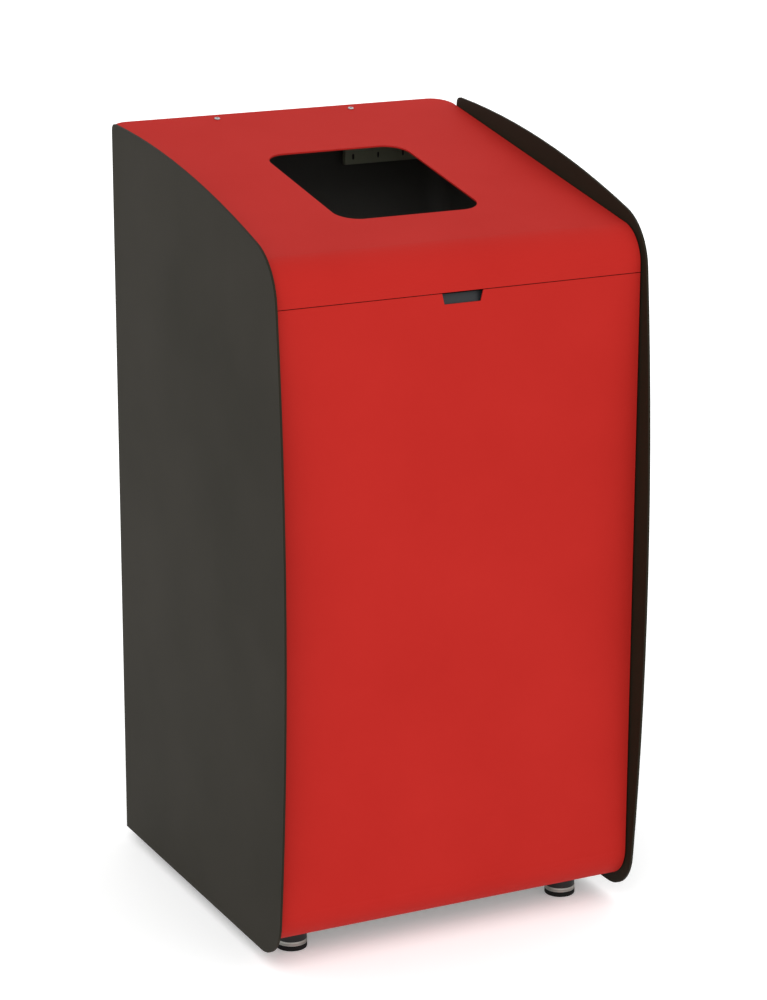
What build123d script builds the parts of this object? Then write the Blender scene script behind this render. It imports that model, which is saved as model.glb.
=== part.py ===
"""Litter bin with curved side panels, a sloping hood and a drop-down front door.

The origin is on the floor under the middle of the bin, +Z is up and the door faces -Y.
All sizes are in millimetres.
"""

import os
from math import cos, radians, sin, tan

from build123d import *

os.makedirs("parts", exist_ok=True)

# ---------------------------------------------------------------- overall
OVERALL_WIDTH = 500.0
BODY_DEPTH = 522.6  # side panel, from its back edge to the middle of its bowed front
HOOD_OVERHANG = 32.1  # hood and back wall behind the side panels' back edge
PANEL_THICKNESS = 3.0
PANEL_BOTTOM = 19.3
SIDE_GAP = 2.0  # daylight between a side panel and the red skin

FRONT_Y = -(BODY_DEPTH + HOOD_OVERHANG) / 2
BACK_Y = FRONT_Y + BODY_DEPTH + HOOD_OVERHANG
PANEL_BACK_Y = BACK_Y - HOOD_OVERHANG
PANEL_INNER_X = OVERALL_WIDTH / 2 - PANEL_THICKNESS
SKIN_X = PANEL_INNER_X - SIDE_GAP

# ---------------------------------------------------------------- side panel outline
PANEL_BACK_TOP = 984.6
PANEL_TOP_RADIUS = 1715.0
PANEL_SHOULDER_EXTRA = 1.4  # fall of the panel's top corners beyond the hood's own slope
PANEL_SHOULDER_SETBACK = 25.3  # virtual shoulder corner behind the bow's foremost line
PANEL_BOW_Z = 455.0  # height of the foremost line
PANEL_BOW_RADIUS = 3865.0
SHOULDER_RADIUS = 75.0
TOE_RADIUS = 57.0
PANEL_BACK_RADIUS = 9.0

# ---------------------------------------------------------------- hood
HOOD_THICKNESS = 2.0
HOOD_SLOPE = 9.79  # degrees
HOOD_BACK_TOP = PANEL_BACK_TOP - 5.5
HOOD_BEND_RADIUS = 47.0
HOOD_CORNER_RADIUS = 28.0
HOOD_FLANGE = 12.0
HOOD_FIT = 0.3  # between the hood's underside and the walls that carry it
HOOD_SIDE_LAP = 2.0  # side flange past the start of the back corner
APERTURE_WIDTH = 195.0
APERTURE_LENGTH = 238.0  # in plan
APERTURE_BACK_INSET = 159.0  # from the hood's back edge
APERTURE_RADIUS = 30.0
HOOD_SCREW_X = 96.6
HOOD_SCREW_INSET = 16.0
SCREW_HOLE_RADIUS = 2.6
SCREW_RADIUS = 2.1
SCREW_LENGTH = 13.0
SCREW_HEAD_RADIUS = 4.5
SCREW_HEAD_HEIGHT = 1.6
SCREW_SEAT = 0.1

# ---------------------------------------------------------------- door
DOOR_THICKNESS = 1.5
DOOR_SETBACK = 30.5  # door face behind the bow's foremost line
DOOR_SEAM = 1.0
APRON_HEIGHT = 48.15  # hood's virtual front corner above the apron's lower edge
DOOR_BEND_RADIUS = 46.0
DOOR_BOTTOM = 33.7
DOOR_LIP = 8.0
DOOR_RETURN = 20.0
PULL_WIDTH_TOP = 56.0
PULL_WIDTH_BOTTOM = 49.0
PULL_DEPTH = 13.5

FACE_Y = FRONT_Y + DOOR_SETBACK
DOOR_INNER_Y = FACE_Y + DOOR_THICKNESS
PIVOT_Y = FACE_Y + DOOR_BEND_RADIUS
PIVOT_Z = DOOR_BOTTOM + DOOR_BEND_RADIUS
DOOR_OPEN_ANGLE = 85.0
APRON_BOTTOM = HOOD_BACK_TOP - (BACK_Y - FACE_Y) * tan(radians(HOOD_SLOPE)) - APRON_HEIGHT
DOOR_TOP = APRON_BOTTOM - DOOR_SEAM

# ---------------------------------------------------------------- carcass
SHEET = 1.5
SHELL_CLEARANCE = 0.5  # between the hood's flange or door's side and the shell wall
SHELL_X = SKIN_X - SHEET - SHELL_CLEARANCE
SHELL_INNER_X = SHELL_X - SHEET
SHELL_BOTTOM = 24.0
JAMB_GAP = 10.0
JAMB_Y = DOOR_INNER_Y + JAMB_GAP
JAMB_WIDTH = 20.0
BACK_INNER_Y = BACK_Y - SHEET
TOE_CLEARANCE = 2.0
NOTCH_Y = PIVOT_Y + DOOR_BEND_RADIUS + TOE_CLEARANCE
NOTCH_TOP = PIVOT_Z + 18.3

BASE_THICKNESS = 2.0
BASE_Z = 30.0
BASE_FLANGE = 24.0
BASE_CLEARANCE = 0.1
BASE_FRONT_Y = PIVOT_Y + 11.5  # behind and above the line of the door's lower edge
ANCHOR_SPACING_X = 260.0
ANCHOR_SPACING_Y = 240.0
ANCHOR_RADIUS = 6.0

# ---------------------------------------------------------------- feet
FOOT_RADIUS = 19.8
FOOT_INSET_X = 56.6
FOOT_INSET_Y = 78.5
PAD_HEIGHT = 6.5
PAD_EDGE = 1.2
RING_HEIGHT = 5.5
RING_EDGE = 0.6
CAP_HEIGHT = 11.0
CAP_INSET = 0.4  # cap's side inside the ring's
CAP_EDGE = 2.5
CAP_FIT = 0.1
STEM_RADIUS = 5.0
STEM_TOP = 41.0
STEM_FIT = 0.06
STEM_CLEARANCE = 0.5
NUT_HEIGHT = 6.0  # stays under the sweep of the door's lip
WELD_NUT_RADIUS = 9.8

# ---------------------------------------------------------------- sack frame
FRAME_ROD = 5.0
FRAME_Z = DOOR_TOP - 69.5
FRAME_HALF_WIDTH = SHELL_INNER_X - 22.5
FRAME_BACK_Y = BACK_INNER_Y - 17.85
FRAME_FRONT_Y = FACE_Y + 71.85
FRAME_CORNER = 45.0
FRAME_FIT = 0.06

FEET = [
    ("front_left", -1, FACE_Y + FOOT_INSET_Y),
    ("front_right", 1, FACE_Y + FOOT_INSET_Y),
    ("rear_left", -1, BACK_Y - FOOT_INSET_Y),
    ("rear_right", 1, BACK_Y - FOOT_INSET_Y),
]
SIDES = [("left", -1), ("right", 1)]
CUT = 200.0  # reach of a cutting block past the sheet it trims
PAST = 5.0  # overrun of a cut past a face


def hood_top(y):
    """Height of the hood's upper face at a place along the depth."""
    return HOOD_BACK_TOP - (BACK_Y - y) * tan(radians(HOOD_SLOPE))


def save(builder, name):
    """Label one finished piece and write it."""
    builder.part.label = name
    export_step(builder.part, f"parts/{name}.step")


def hood_profile(inset, front_end, back_end):
    """Draw the side outline under the hood's upper face, set in by a distance."""
    drop = inset / cos(radians(HOOD_SLOPE))
    front = FACE_Y + inset
    with BuildLine() as outline:
        Polyline(
            (front, front_end),
            (front, hood_top(front) - drop),
            (back_end, hood_top(back_end) - drop),
            (back_end, front_end),
            close=True,
        )
    make_face(outline.edges())
    corner = vertices().group_by(Axis.X)[0].sort_by(Axis.Y)[-1]
    fillet(corner, HOOD_BEND_RADIUS - inset)


# ================================================================ side panels
def panel_outline():
    """Draw a side panel's outline, bowed at the front and arched along the top."""
    fall = (BODY_DEPTH - PANEL_SHOULDER_SETBACK) * tan(radians(HOOD_SLOPE)) + PANEL_SHOULDER_EXTRA
    shoulder_z = PANEL_BACK_TOP - fall
    shoulder_y = FRONT_Y + PANEL_SHOULDER_SETBACK
    toe_y = FRONT_Y + (PANEL_BOW_Z - PANEL_BOTTOM) ** 2 / (2 * PANEL_BOW_RADIUS)
    with BuildLine() as outline:
        Line((PANEL_BACK_Y, PANEL_BACK_TOP), (PANEL_BACK_Y, PANEL_BOTTOM))
        Line((PANEL_BACK_Y, PANEL_BOTTOM), (toe_y, PANEL_BOTTOM))
        ThreePointArc((toe_y, PANEL_BOTTOM), (FRONT_Y, PANEL_BOW_Z), (shoulder_y, shoulder_z))
        RadiusArc((shoulder_y, shoulder_z), (PANEL_BACK_Y, PANEL_BACK_TOP), PANEL_TOP_RADIUS)
    make_face(outline.edges())
    by_height = vertices().sort_by(Axis.Y)
    fillet(by_height[:2].sort_by(Axis.X)[0], TOE_RADIUS)
    by_height = vertices().sort_by(Axis.Y)
    fillet(by_height[-1], PANEL_BACK_RADIUS)
    shoulder = vertices().sort_by_distance(Vertex(shoulder_y, shoulder_z, 0))[0]
    fillet(shoulder, SHOULDER_RADIUS)


with BuildPart() as left_panel:
    with BuildSketch(Plane.YZ.offset(-OVERALL_WIDTH / 2)):
        panel_outline()
    extrude(amount=PANEL_THICKNESS)
save(left_panel, "left_side_panel")

with BuildPart() as right_panel:
    with BuildSketch(Plane.YZ.offset(PANEL_INNER_X)):
        panel_outline()
    extrude(amount=PANEL_THICKNESS)
save(right_panel, "right_side_panel")

# ================================================================ panel fixings
STUD_RADIUS = 3.0
STUD_LENGTH = 16.0
STUD_PLACES = [(y, z) for y in (-150.0, 150.0) for z in (220.0, 720.0)]
STUD_FIT = 0.4
NUT_THICKNESS = 5.0
NUT_RADIUS = 5.8
NUT_FIT = 0.05
SPACER_RADIUS = 9.0

with BuildPart() as studs:
    for side in (-1, 1):
        outward = Plane.YZ.offset(side * PANEL_INNER_X)
        with BuildSketch(outward):
            with Locations(*STUD_PLACES):
                Circle(STUD_RADIUS)
        extrude(amount=-side * STUD_LENGTH)
save(studs, "panel_studs")

with BuildPart() as spacers:
    for side in (-1, 1):
        with BuildSketch(Plane.YZ.offset(side * PANEL_INNER_X)):
            with Locations(*STUD_PLACES):
                Circle(SPACER_RADIUS)
                Circle(STUD_RADIUS + STUD_FIT, mode=Mode.SUBTRACT)
        extrude(amount=-side * (PANEL_INNER_X - SHELL_X))
save(spacers, "panel_spacers")

with BuildPart() as panel_nuts:
    for side in (-1, 1):
        with BuildSketch(Plane.YZ.offset(side * SHELL_INNER_X)):
            with Locations(*STUD_PLACES):
                RegularPolygon(NUT_RADIUS, 6)
                Circle(STUD_RADIUS + NUT_FIT, mode=Mode.SUBTRACT)
        extrude(amount=-side * NUT_THICKNESS)
save(panel_nuts, "panel_nuts")

# ================================================================ back shell
FOLD_RADIUS = 3.0
RIVET_RADIUS = 2.4
RIVET_FIT = 0.05
RIVET_LENGTH = 6.0
RIVET_HEAD_RADIUS = 4.0
RIVET_HEAD_HEIGHT = 1.2
BRACKET_START = 82.0
BRACKET_RIVET_Z = HOOD_BACK_TOP - 29.1
BRACKET_RIVETS = (30.0, 105.0)  # from the bracket's inner end
RIVET_X = [side * (BRACKET_START + x) for side in (-1, 1) for x in BRACKET_RIVETS]

with BuildPart() as back_shell:
    centre_x = SHELL_X - SHEET / 2
    centre_back = BACK_Y - SHEET / 2
    jamb = JAMB_Y + SHEET / 2
    with BuildSketch(Plane.XY.offset(SHELL_BOTTOM)):
        with BuildLine():
            FilletPolyline(
                (-SHELL_X + JAMB_WIDTH, jamb),
                (-centre_x, jamb),
                (-centre_x, centre_back),
                (centre_x, centre_back),
                (centre_x, jamb),
                (SHELL_X - JAMB_WIDTH, jamb),
                radius=[FOLD_RADIUS, HOOD_CORNER_RADIUS, HOOD_CORNER_RADIUS, FOLD_RADIUS],
            )
        trace(line_width=SHEET)
    extrude(amount=PANEL_BACK_TOP)
    with BuildSketch(Plane.YZ.offset(-OVERALL_WIDTH / 2)):
        hood_profile(HOOD_THICKNESS + HOOD_FIT, SHELL_BOTTOM, BACK_Y + 1)
    extrude(amount=OVERALL_WIDTH, mode=Mode.INTERSECT)
    with BuildSketch(Plane.YZ.offset(-OVERALL_WIDTH / 2)):
        with Locations((NOTCH_Y, NOTCH_TOP)):
            Rectangle(CUT, CUT, align=(Align.MAX, Align.MAX))
    extrude(amount=OVERALL_WIDTH, mode=Mode.SUBTRACT)
    with BuildSketch(Plane.YZ.offset(-OVERALL_WIDTH / 2)):
        with Locations(*STUD_PLACES):
            Circle(STUD_RADIUS + STUD_FIT)
    extrude(amount=OVERALL_WIDTH, mode=Mode.SUBTRACT)
    with BuildSketch(Plane.XZ.offset(-BACK_Y)):
        with Locations(*[(x, BRACKET_RIVET_Z) for x in RIVET_X]):
            Circle(RIVET_RADIUS + RIVET_FIT)
    extrude(amount=2 * SHEET, both=True, mode=Mode.SUBTRACT)
save(back_shell, "back_shell")

# ================================================================ base tray
TRAY_X = SHELL_INNER_X - BASE_CLEARANCE
TRAY_BACK = BACK_INNER_Y - BASE_CLEARANCE

with BuildPart() as base_tray:
    with BuildSketch(Plane.XY.offset(BASE_Z)):
        with BuildLine():
            Polyline(
                (-TRAY_X, BASE_FRONT_Y),
                (TRAY_X, BASE_FRONT_Y),
                (TRAY_X, TRAY_BACK),
                (-TRAY_X, TRAY_BACK),
                close=True,
            )
        make_face()
        fillet(vertices().group_by(Axis.Y)[-1], HOOD_CORNER_RADIUS)
    extrude(amount=BASE_THICKNESS)
    flange_length = TRAY_BACK - HOOD_CORNER_RADIUS - NOTCH_Y
    with BuildSketch(Plane.XY.offset(BASE_Z)):
        with Locations((0, NOTCH_Y + flange_length / 2)):
            with GridLocations(2 * TRAY_X - BASE_THICKNESS, 0, 2, 1):
                Rectangle(BASE_THICKNESS, flange_length)
        with Locations((0, TRAY_BACK - BASE_THICKNESS / 2)):
            Rectangle(2 * (TRAY_X - HOOD_CORNER_RADIUS), BASE_THICKNESS)
    extrude(amount=BASE_FLANGE)
    with BuildSketch(Plane.XY.offset(BASE_Z)):
        with Locations(*[(side * (OVERALL_WIDTH / 2 - FOOT_INSET_X), y) for _, side, y in FEET]):
            Circle(STEM_RADIUS + STEM_CLEARANCE)
        with GridLocations(ANCHOR_SPACING_X, ANCHOR_SPACING_Y, 2, 2):
            Circle(ANCHOR_RADIUS)
    extrude(amount=BASE_THICKNESS, mode=Mode.SUBTRACT)
save(base_tray, "base_tray")

# ================================================================ feet
for name, side, y in FEET:
    place = (side * (OVERALL_WIDTH / 2 - FOOT_INSET_X), y)
    ring_z = PAD_HEIGHT
    cap_z = PAD_HEIGHT + RING_HEIGHT
    with BuildPart() as pad:
        with BuildSketch():
            with Locations(place):
                Circle(FOOT_RADIUS)
        extrude(amount=PAD_HEIGHT)
        fillet(pad.edges().filter_by(GeomType.CIRCLE).sort_by(Axis.Z)[0], PAD_EDGE)
    save(pad, f"foot_pad_{name}")

    with BuildPart() as stem:
        with BuildSketch(Plane.XY.offset(ring_z)):
            with Locations(place):
                Circle(FOOT_RADIUS)
        extrude(amount=RING_HEIGHT)
        chamfer(stem.edges().filter_by(GeomType.CIRCLE), RING_EDGE)
        with BuildSketch(Plane.XY.offset(cap_z)):
            with Locations(place):
                Circle(STEM_RADIUS)
        extrude(amount=STEM_TOP - cap_z)
    save(stem, f"foot_stem_{name}")

    with BuildPart() as cap:
        with BuildSketch(Plane.XY.offset(cap_z)):
            with Locations(place):
                Circle(FOOT_RADIUS - CAP_INSET)
        extrude(amount=CAP_HEIGHT)
        fillet(cap.edges().filter_by(GeomType.CIRCLE).sort_by(Axis.Z)[-1], CAP_EDGE)
        with BuildSketch(Plane.XY.offset(cap_z)):
            with Locations(place):
                Circle(STEM_RADIUS + CAP_FIT)
        extrude(amount=CAP_HEIGHT, mode=Mode.SUBTRACT)
    save(cap, f"foot_cap_{name}")

with BuildPart() as weld_nuts:
    with BuildSketch(Plane.XY.offset(BASE_Z + BASE_THICKNESS)):
        with Locations(*[(side * (OVERALL_WIDTH / 2 - FOOT_INSET_X), y) for _, side, y in FEET]):
            RegularPolygon(WELD_NUT_RADIUS, 6)
            Circle(STEM_RADIUS + STEM_FIT, mode=Mode.SUBTRACT)
    extrude(amount=NUT_HEIGHT)
save(weld_nuts, "foot_weld_nuts")

# ================================================================ hood
with BuildPart() as hood:
    with BuildSketch(Plane.YZ.offset(-SKIN_X)):
        hood_profile(0, APRON_BOTTOM, BACK_Y)
    extrude(amount=2 * SKIN_X)
    with BuildSketch(Plane.YZ.offset(-SKIN_X)):
        hood_profile(HOOD_THICKNESS, APRON_BOTTOM - PAST, BACK_Y + PAST)
    extrude(amount=2 * SKIN_X, mode=Mode.SUBTRACT)
    for side in (-1, 1):
        with BuildSketch(Plane.YZ.offset(side * SKIN_X)):
            hood_profile(HOOD_THICKNESS / 2, APRON_BOTTOM, BACK_Y - HOOD_CORNER_RADIUS - HOOD_SIDE_LAP)
            with BuildSketch(mode=Mode.PRIVATE) as inside:
                hood_profile(HOOD_FLANGE, APRON_BOTTOM - PAST, BACK_Y + PAST)
            add(inside.sketch_local, mode=Mode.SUBTRACT)
        extrude(amount=-side * SHEET)
    with BuildSketch(Plane.XY.offset(APRON_BOTTOM)):
        with Locations((0, BACK_Y - APERTURE_BACK_INSET - APERTURE_LENGTH / 2)):
            RectangleRounded(APERTURE_WIDTH, APERTURE_LENGTH, APERTURE_RADIUS)
        with Locations(*[(side * HOOD_SCREW_X, BACK_Y - HOOD_SCREW_INSET) for side in (-1, 1)]):
            Circle(SCREW_HOLE_RADIUS)
    extrude(amount=CUT, mode=Mode.SUBTRACT)
    with BuildSketch(Plane.XY.offset(APRON_BOTTOM)):
        with Locations((0, (FACE_Y + BACK_Y) / 2)):
            Rectangle(2 * SKIN_X, BACK_Y - FACE_Y)
        fillet(vertices().group_by(Axis.Y)[-1], HOOD_CORNER_RADIUS)
    extrude(amount=CUT, mode=Mode.INTERSECT)
save(hood, "hood")

# ================================================================ hood brackets and screws
BRACKET_LENGTH = 135.0
BRACKET_FRONT_Y = PANEL_BACK_Y + 2
BRACKET_BOTTOM = HOOD_BACK_TOP - 75.1
BRACKET_SLOT_PITCH = 37.0
BRACKET_SLOT_Z = BRACKET_BOTTOM + 10.0
BRACKET_GAP = 0.2
BRACKET_SLOTS = 4
BRACKET_SLOT_INSET = 12.0
BRACKET_SLOT_LENGTH = 8.0
BRACKET_SLOT_WIDTH = 3.6
BRACKET_REAR_BOTTOM = BRACKET_BOTTOM + 26.0
BRACKET_END_WIDTH = 8.0
BRACKET_END_HEIGHT = 60.0


def bracket_plane_z(y):
    """Height of the hood's underside, less the seating gap."""
    return hood_top(y) - HOOD_THICKNESS / cos(radians(HOOD_SLOPE)) - BRACKET_GAP


for name, side in SIDES:
    start = side * BRACKET_START
    with BuildPart() as bracket:
        middle = SHEET / 2
        rear = BACK_INNER_Y - BRACKET_GAP - middle
        front = BRACKET_FRONT_Y + middle
        with BuildSketch(Plane.YZ.offset(start)):
            with BuildLine():
                Polyline(
                    (rear, BRACKET_REAR_BOTTOM),
                    (rear, bracket_plane_z(rear) - middle),
                    (front, bracket_plane_z(front) - middle),
                    (front, BRACKET_BOTTOM),
                )
            trace(line_width=SHEET)
        extrude(amount=side * BRACKET_LENGTH)
        with BuildSketch(Plane.YZ.offset(start)):
            with Locations((BRACKET_FRONT_Y, BRACKET_BOTTOM)):
                Rectangle(BRACKET_END_WIDTH, BRACKET_END_HEIGHT, align=(Align.MIN, Align.MIN))
        extrude(amount=side * SHEET)
        with BuildSketch(Plane.XZ.offset(-BRACKET_FRONT_Y - 2 * SHEET)):
            for step in range(BRACKET_SLOTS):
                slot_x = start + side * (BRACKET_SLOT_INSET + step * BRACKET_SLOT_PITCH)
                with Locations((slot_x, BRACKET_SLOT_Z)):
                    SlotOverall(BRACKET_SLOT_LENGTH, BRACKET_SLOT_WIDTH, rotation=90)
        extrude(amount=3 * SHEET, mode=Mode.SUBTRACT)
        with BuildSketch(Plane.XY.offset(BRACKET_REAR_BOTTOM)):
            with Locations((side * HOOD_SCREW_X, BACK_Y - HOOD_SCREW_INSET)):
                Circle(SCREW_HOLE_RADIUS)
        extrude(amount=BRACKET_END_HEIGHT, mode=Mode.SUBTRACT)
        with BuildSketch(Plane.XZ.offset(-BACK_Y)):
            with Locations(*[(start + side * x, BRACKET_RIVET_Z) for x in BRACKET_RIVETS]):
                Circle(RIVET_RADIUS + RIVET_FIT)
        extrude(amount=10, mode=Mode.SUBTRACT)
    save(bracket, f"hood_bracket_{name}")

with BuildPart() as hood_screws:
    for side in (-1, 1):
        seat = hood_top(BACK_Y - HOOD_SCREW_INSET)
        face = Plane(
            origin=(side * HOOD_SCREW_X, BACK_Y - HOOD_SCREW_INSET, seat + SCREW_SEAT),
            z_dir=(0, -sin(radians(HOOD_SLOPE)), cos(radians(HOOD_SLOPE))),
        )
        with BuildSketch(face):
            Circle(SCREW_HEAD_RADIUS)
        extrude(amount=SCREW_HEAD_HEIGHT)
        with BuildSketch(Plane(origin=(side * HOOD_SCREW_X, BACK_Y - HOOD_SCREW_INSET, seat + 1))):
            Circle(SCREW_RADIUS)
        extrude(amount=-SCREW_LENGTH - 1)
save(hood_screws, "hood_screws")

with BuildPart() as bracket_rivets:
    with BuildSketch(Plane.XZ.offset(-BACK_Y)):
        with Locations(*[(x, BRACKET_RIVET_Z) for x in RIVET_X]):
            Circle(RIVET_RADIUS)
    extrude(amount=RIVET_LENGTH)
    with BuildSketch(Plane.XZ.offset(-BACK_INNER_Y + SHEET + 1.5 * BRACKET_GAP)):
        with Locations(*[(x, BRACKET_RIVET_Z) for x in RIVET_X]):
            Circle(RIVET_HEAD_RADIUS)
    extrude(amount=RIVET_HEAD_HEIGHT)
save(bracket_rivets, "bracket_rivets")

# ================================================================ header rail behind the hood's apron
HEADER_BOTTOM = DOOR_TOP - 33.5
HEADER_TOP = APRON_BOTTOM + 27.5
HEADER_FRONT_Y = JAMB_Y + SHEET + HOOD_FIT
HEADER_DEPTH = 28.0
HEADER_NOTCH = 100.0
MAGNET_X = SHELL_INNER_X - 91.5

with BuildPart() as header:
    front = HEADER_FRONT_Y + SHEET / 2
    with BuildSketch(Plane.YZ.offset(-SHELL_INNER_X + 2 * FOLD_RADIUS)):
        with BuildLine():
            FilletPolyline(
                (front + HEADER_DEPTH, HEADER_BOTTOM + SHEET),
                (front, HEADER_BOTTOM + SHEET),
                (front, HEADER_TOP),
                (front + HEADER_DEPTH, HEADER_TOP),
                radius=FOLD_RADIUS,
            )
        trace(line_width=SHEET)
    extrude(amount=2 * SHELL_INNER_X - 4 * FOLD_RADIUS)
    with BuildSketch(Plane.XZ.offset(-HEADER_FRONT_Y - HEADER_DEPTH - PAST)):
        with Locations((0, HEADER_BOTTOM - PAST)):
            Rectangle(HEADER_NOTCH, DOOR_TOP - HEADER_BOTTOM + 2 * PAST, align=(Align.CENTER, Align.MIN))
    extrude(amount=HEADER_DEPTH + 2 * PAST, mode=Mode.SUBTRACT)
save(header, "header_rail")

MAGNET_WIDTH = 42.0
MAGNET_HEIGHT = 16.0
MAGNET_CORNER = 2.0
KEEPER_MARGIN = 2.0
KEEPER_WIDTH = 50.0
MAGNET_Z = DOOR_TOP - 17.5
KEEPER_THICKNESS = 1.5
MAGNET_GAP = 0.4

with BuildPart() as magnets:
    with BuildSketch(Plane.XZ.offset(-HEADER_FRONT_Y)):
        with Locations((-MAGNET_X, MAGNET_Z), (MAGNET_X, MAGNET_Z)):
            RectangleRounded(MAGNET_WIDTH, MAGNET_HEIGHT, MAGNET_CORNER)
    extrude(amount=HEADER_FRONT_Y - DOOR_INNER_Y - KEEPER_THICKNESS - MAGNET_GAP)
save(magnets, "magnet_catches")

with BuildPart() as keepers:
    with BuildSketch(Plane.XZ.offset(-DOOR_INNER_Y)):
        with Locations((-MAGNET_X, MAGNET_Z), (MAGNET_X, MAGNET_Z)):
            RectangleRounded(KEEPER_WIDTH, MAGNET_HEIGHT + KEEPER_MARGIN, MAGNET_CORNER)
    extrude(amount=-KEEPER_THICKNESS)
save(keepers, "magnet_keepers")

# ================================================================ rubber buffers on the jambs
BUFFER_Z = 460.0
BUFFER_SPACING = 560.0
BUFFER_RADIUS = 6.0
BUFFER_TAPER = 8.0
BUFFER_GAP = 0.4
BUFFER_OFFSET = 2.0  # outside the middle of the jamb

with BuildPart() as buffers:
    with BuildSketch(Plane.XZ.offset(-JAMB_Y)):
        with Locations((0, BUFFER_Z)):
            with GridLocations(2 * (SHELL_X - JAMB_WIDTH / 2 - BUFFER_OFFSET), BUFFER_SPACING, 2, 2):
                Circle(BUFFER_RADIUS)
    extrude(amount=JAMB_GAP - BUFFER_GAP, taper=BUFFER_TAPER)
save(buffers, "door_buffers")

# ================================================================ door
with BuildPart() as door_skin:
    middle = DOOR_THICKNESS / 2
    with BuildSketch(Plane.YZ.offset(-SKIN_X)):
        with BuildLine():
            FilletPolyline(
                (FACE_Y + middle, DOOR_TOP),
                (FACE_Y + middle, DOOR_BOTTOM + middle),
                (PIVOT_Y + DOOR_LIP, DOOR_BOTTOM + middle),
                radius=DOOR_BEND_RADIUS - middle,
            )
        trace(line_width=DOOR_THICKNESS)
    extrude(amount=2 * SKIN_X)
    with BuildSketch(Plane.XZ.offset(-DOOR_INNER_Y)):
        with BuildLine():
            Polyline(
                (-PULL_WIDTH_TOP / 2, DOOR_TOP + 1),
                (-PULL_WIDTH_BOTTOM / 2, DOOR_TOP - PULL_DEPTH),
                (PULL_WIDTH_BOTTOM / 2, DOOR_TOP - PULL_DEPTH),
                (PULL_WIDTH_TOP / 2, DOOR_TOP + 1),
                close=True,
            )
        make_face()
    extrude(amount=DOOR_THICKNESS + 1, both=True, mode=Mode.SUBTRACT)
save(door_skin, "door_skin")

CHEEK_HEIGHT = 30.0
CHEEK_BACK = 12.0
CHEEK_CORNER = 8.0
PIN_RADIUS = 4.0
PIN_FIT = 0.05
PIN_LENGTH = 18.0
PIN_HEAD_RADIUS = 9.0
PIN_HEAD_GAP = 0.3
BUSH_RADIUS = 6.5
BUSH_LENGTH = 9.0
BUSH_FLANGE_RADIUS = 11.0
BUSH_FLANGE = 2.0

for name, side in SIDES:
    with BuildPart() as cheek:
        inner = DOOR_BEND_RADIUS - DOOR_THICKNESS
        with BuildSketch(Plane.YZ.offset(side * SKIN_X)):
            with BuildLine():
                Polyline(
                    (PIVOT_Y, PIVOT_Z - inner),
                    (PIVOT_Y + CHEEK_BACK, PIVOT_Z - CHEEK_BACK),
                    (PIVOT_Y + CHEEK_BACK, PIVOT_Z + CHEEK_HEIGHT),
                    (DOOR_INNER_Y + DOOR_RETURN, PIVOT_Z + 2 * CHEEK_HEIGHT),
                    (DOOR_INNER_Y + DOOR_RETURN, DOOR_TOP - CHEEK_CORNER),
                    (DOOR_INNER_Y + CHEEK_CORNER, DOOR_TOP),
                    (DOOR_INNER_Y, DOOR_TOP),
                    (DOOR_INNER_Y, PIVOT_Z),
                )
                RadiusArc((DOOR_INNER_Y, PIVOT_Z), (PIVOT_Y, PIVOT_Z - inner), -inner)
            make_face()
            with Locations((PIVOT_Y, PIVOT_Z)):
                Circle(BUSH_RADIUS, mode=Mode.SUBTRACT)
        extrude(amount=-side * SHEET)
    save(cheek, f"door_side_{name}")

with BuildPart() as bushes:
    for side in (-1, 1):
        with BuildSketch(Plane.YZ.offset(side * SKIN_X)):
            with Locations((PIVOT_Y, PIVOT_Z)):
                Circle(BUSH_RADIUS)
                Circle(PIN_RADIUS + PIN_FIT, mode=Mode.SUBTRACT)
        extrude(amount=-side * BUSH_LENGTH)
        with BuildSketch(Plane.YZ.offset(side * (SKIN_X - SHEET))):
            with Locations((PIVOT_Y, PIVOT_Z)):
                Circle(BUSH_FLANGE_RADIUS)
                Circle(PIN_RADIUS + PIN_FIT, mode=Mode.SUBTRACT)
        extrude(amount=-side * BUSH_FLANGE)
save(bushes, "hinge_bushes")

with BuildPart() as pins:
    for side in (-1, 1):
        with BuildSketch(Plane.YZ.offset(side * PANEL_INNER_X)):
            with Locations((PIVOT_Y, PIVOT_Z)):
                Circle(PIN_RADIUS)
        extrude(amount=-side * PIN_LENGTH)
        with BuildSketch(Plane.YZ.offset(side * PANEL_INNER_X)):
            with Locations((PIVOT_Y, PIVOT_Z)):
                Circle(PIN_HEAD_RADIUS)
        extrude(amount=-side * (SIDE_GAP - PIN_HEAD_GAP))
save(pins, "hinge_pins")

STOP_GAP = 0.7
STOP_LENGTH = 24.0
STOP_REACH = 12.0  # forward of the shell wall's notch
STOP_WIDTH = 20.0
STOP_HEIGHT = 22.0
STOP_THICKNESS = 2.0

with BuildPart() as stops:
    lip_rise = DOOR_LIP * sin(radians(DOOR_OPEN_ANGLE)) - DOOR_BEND_RADIUS * cos(radians(DOOR_OPEN_ANGLE))
    stop_z = PIVOT_Z + lip_rise + STOP_GAP
    for side in (-1, 1):
        align = (Align.MAX if side > 0 else Align.MIN, Align.MIN)
        with BuildSketch(Plane.XY.offset(stop_z)):
            with Locations((side * TRAY_X, NOTCH_Y - STOP_REACH)):
                Rectangle(STOP_WIDTH, STOP_LENGTH + STOP_REACH, align=align)
        extrude(amount=STOP_THICKNESS)
        with BuildSketch(Plane.XY.offset(stop_z)):
            with Locations((side * TRAY_X, NOTCH_Y - STOP_REACH)):
                Rectangle(STOP_THICKNESS, STOP_LENGTH + STOP_REACH, align=align)
        extrude(amount=STOP_HEIGHT)
save(stops, "door_stops")

STIFFENER_X = SKIN_X - 45.0
STIFFENER_DEPTH = 8.5
STIFFENER_CROWN = 18.0
STIFFENER_FOOT = 24.0
STIFFENER_EDGE = 42.0

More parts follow.
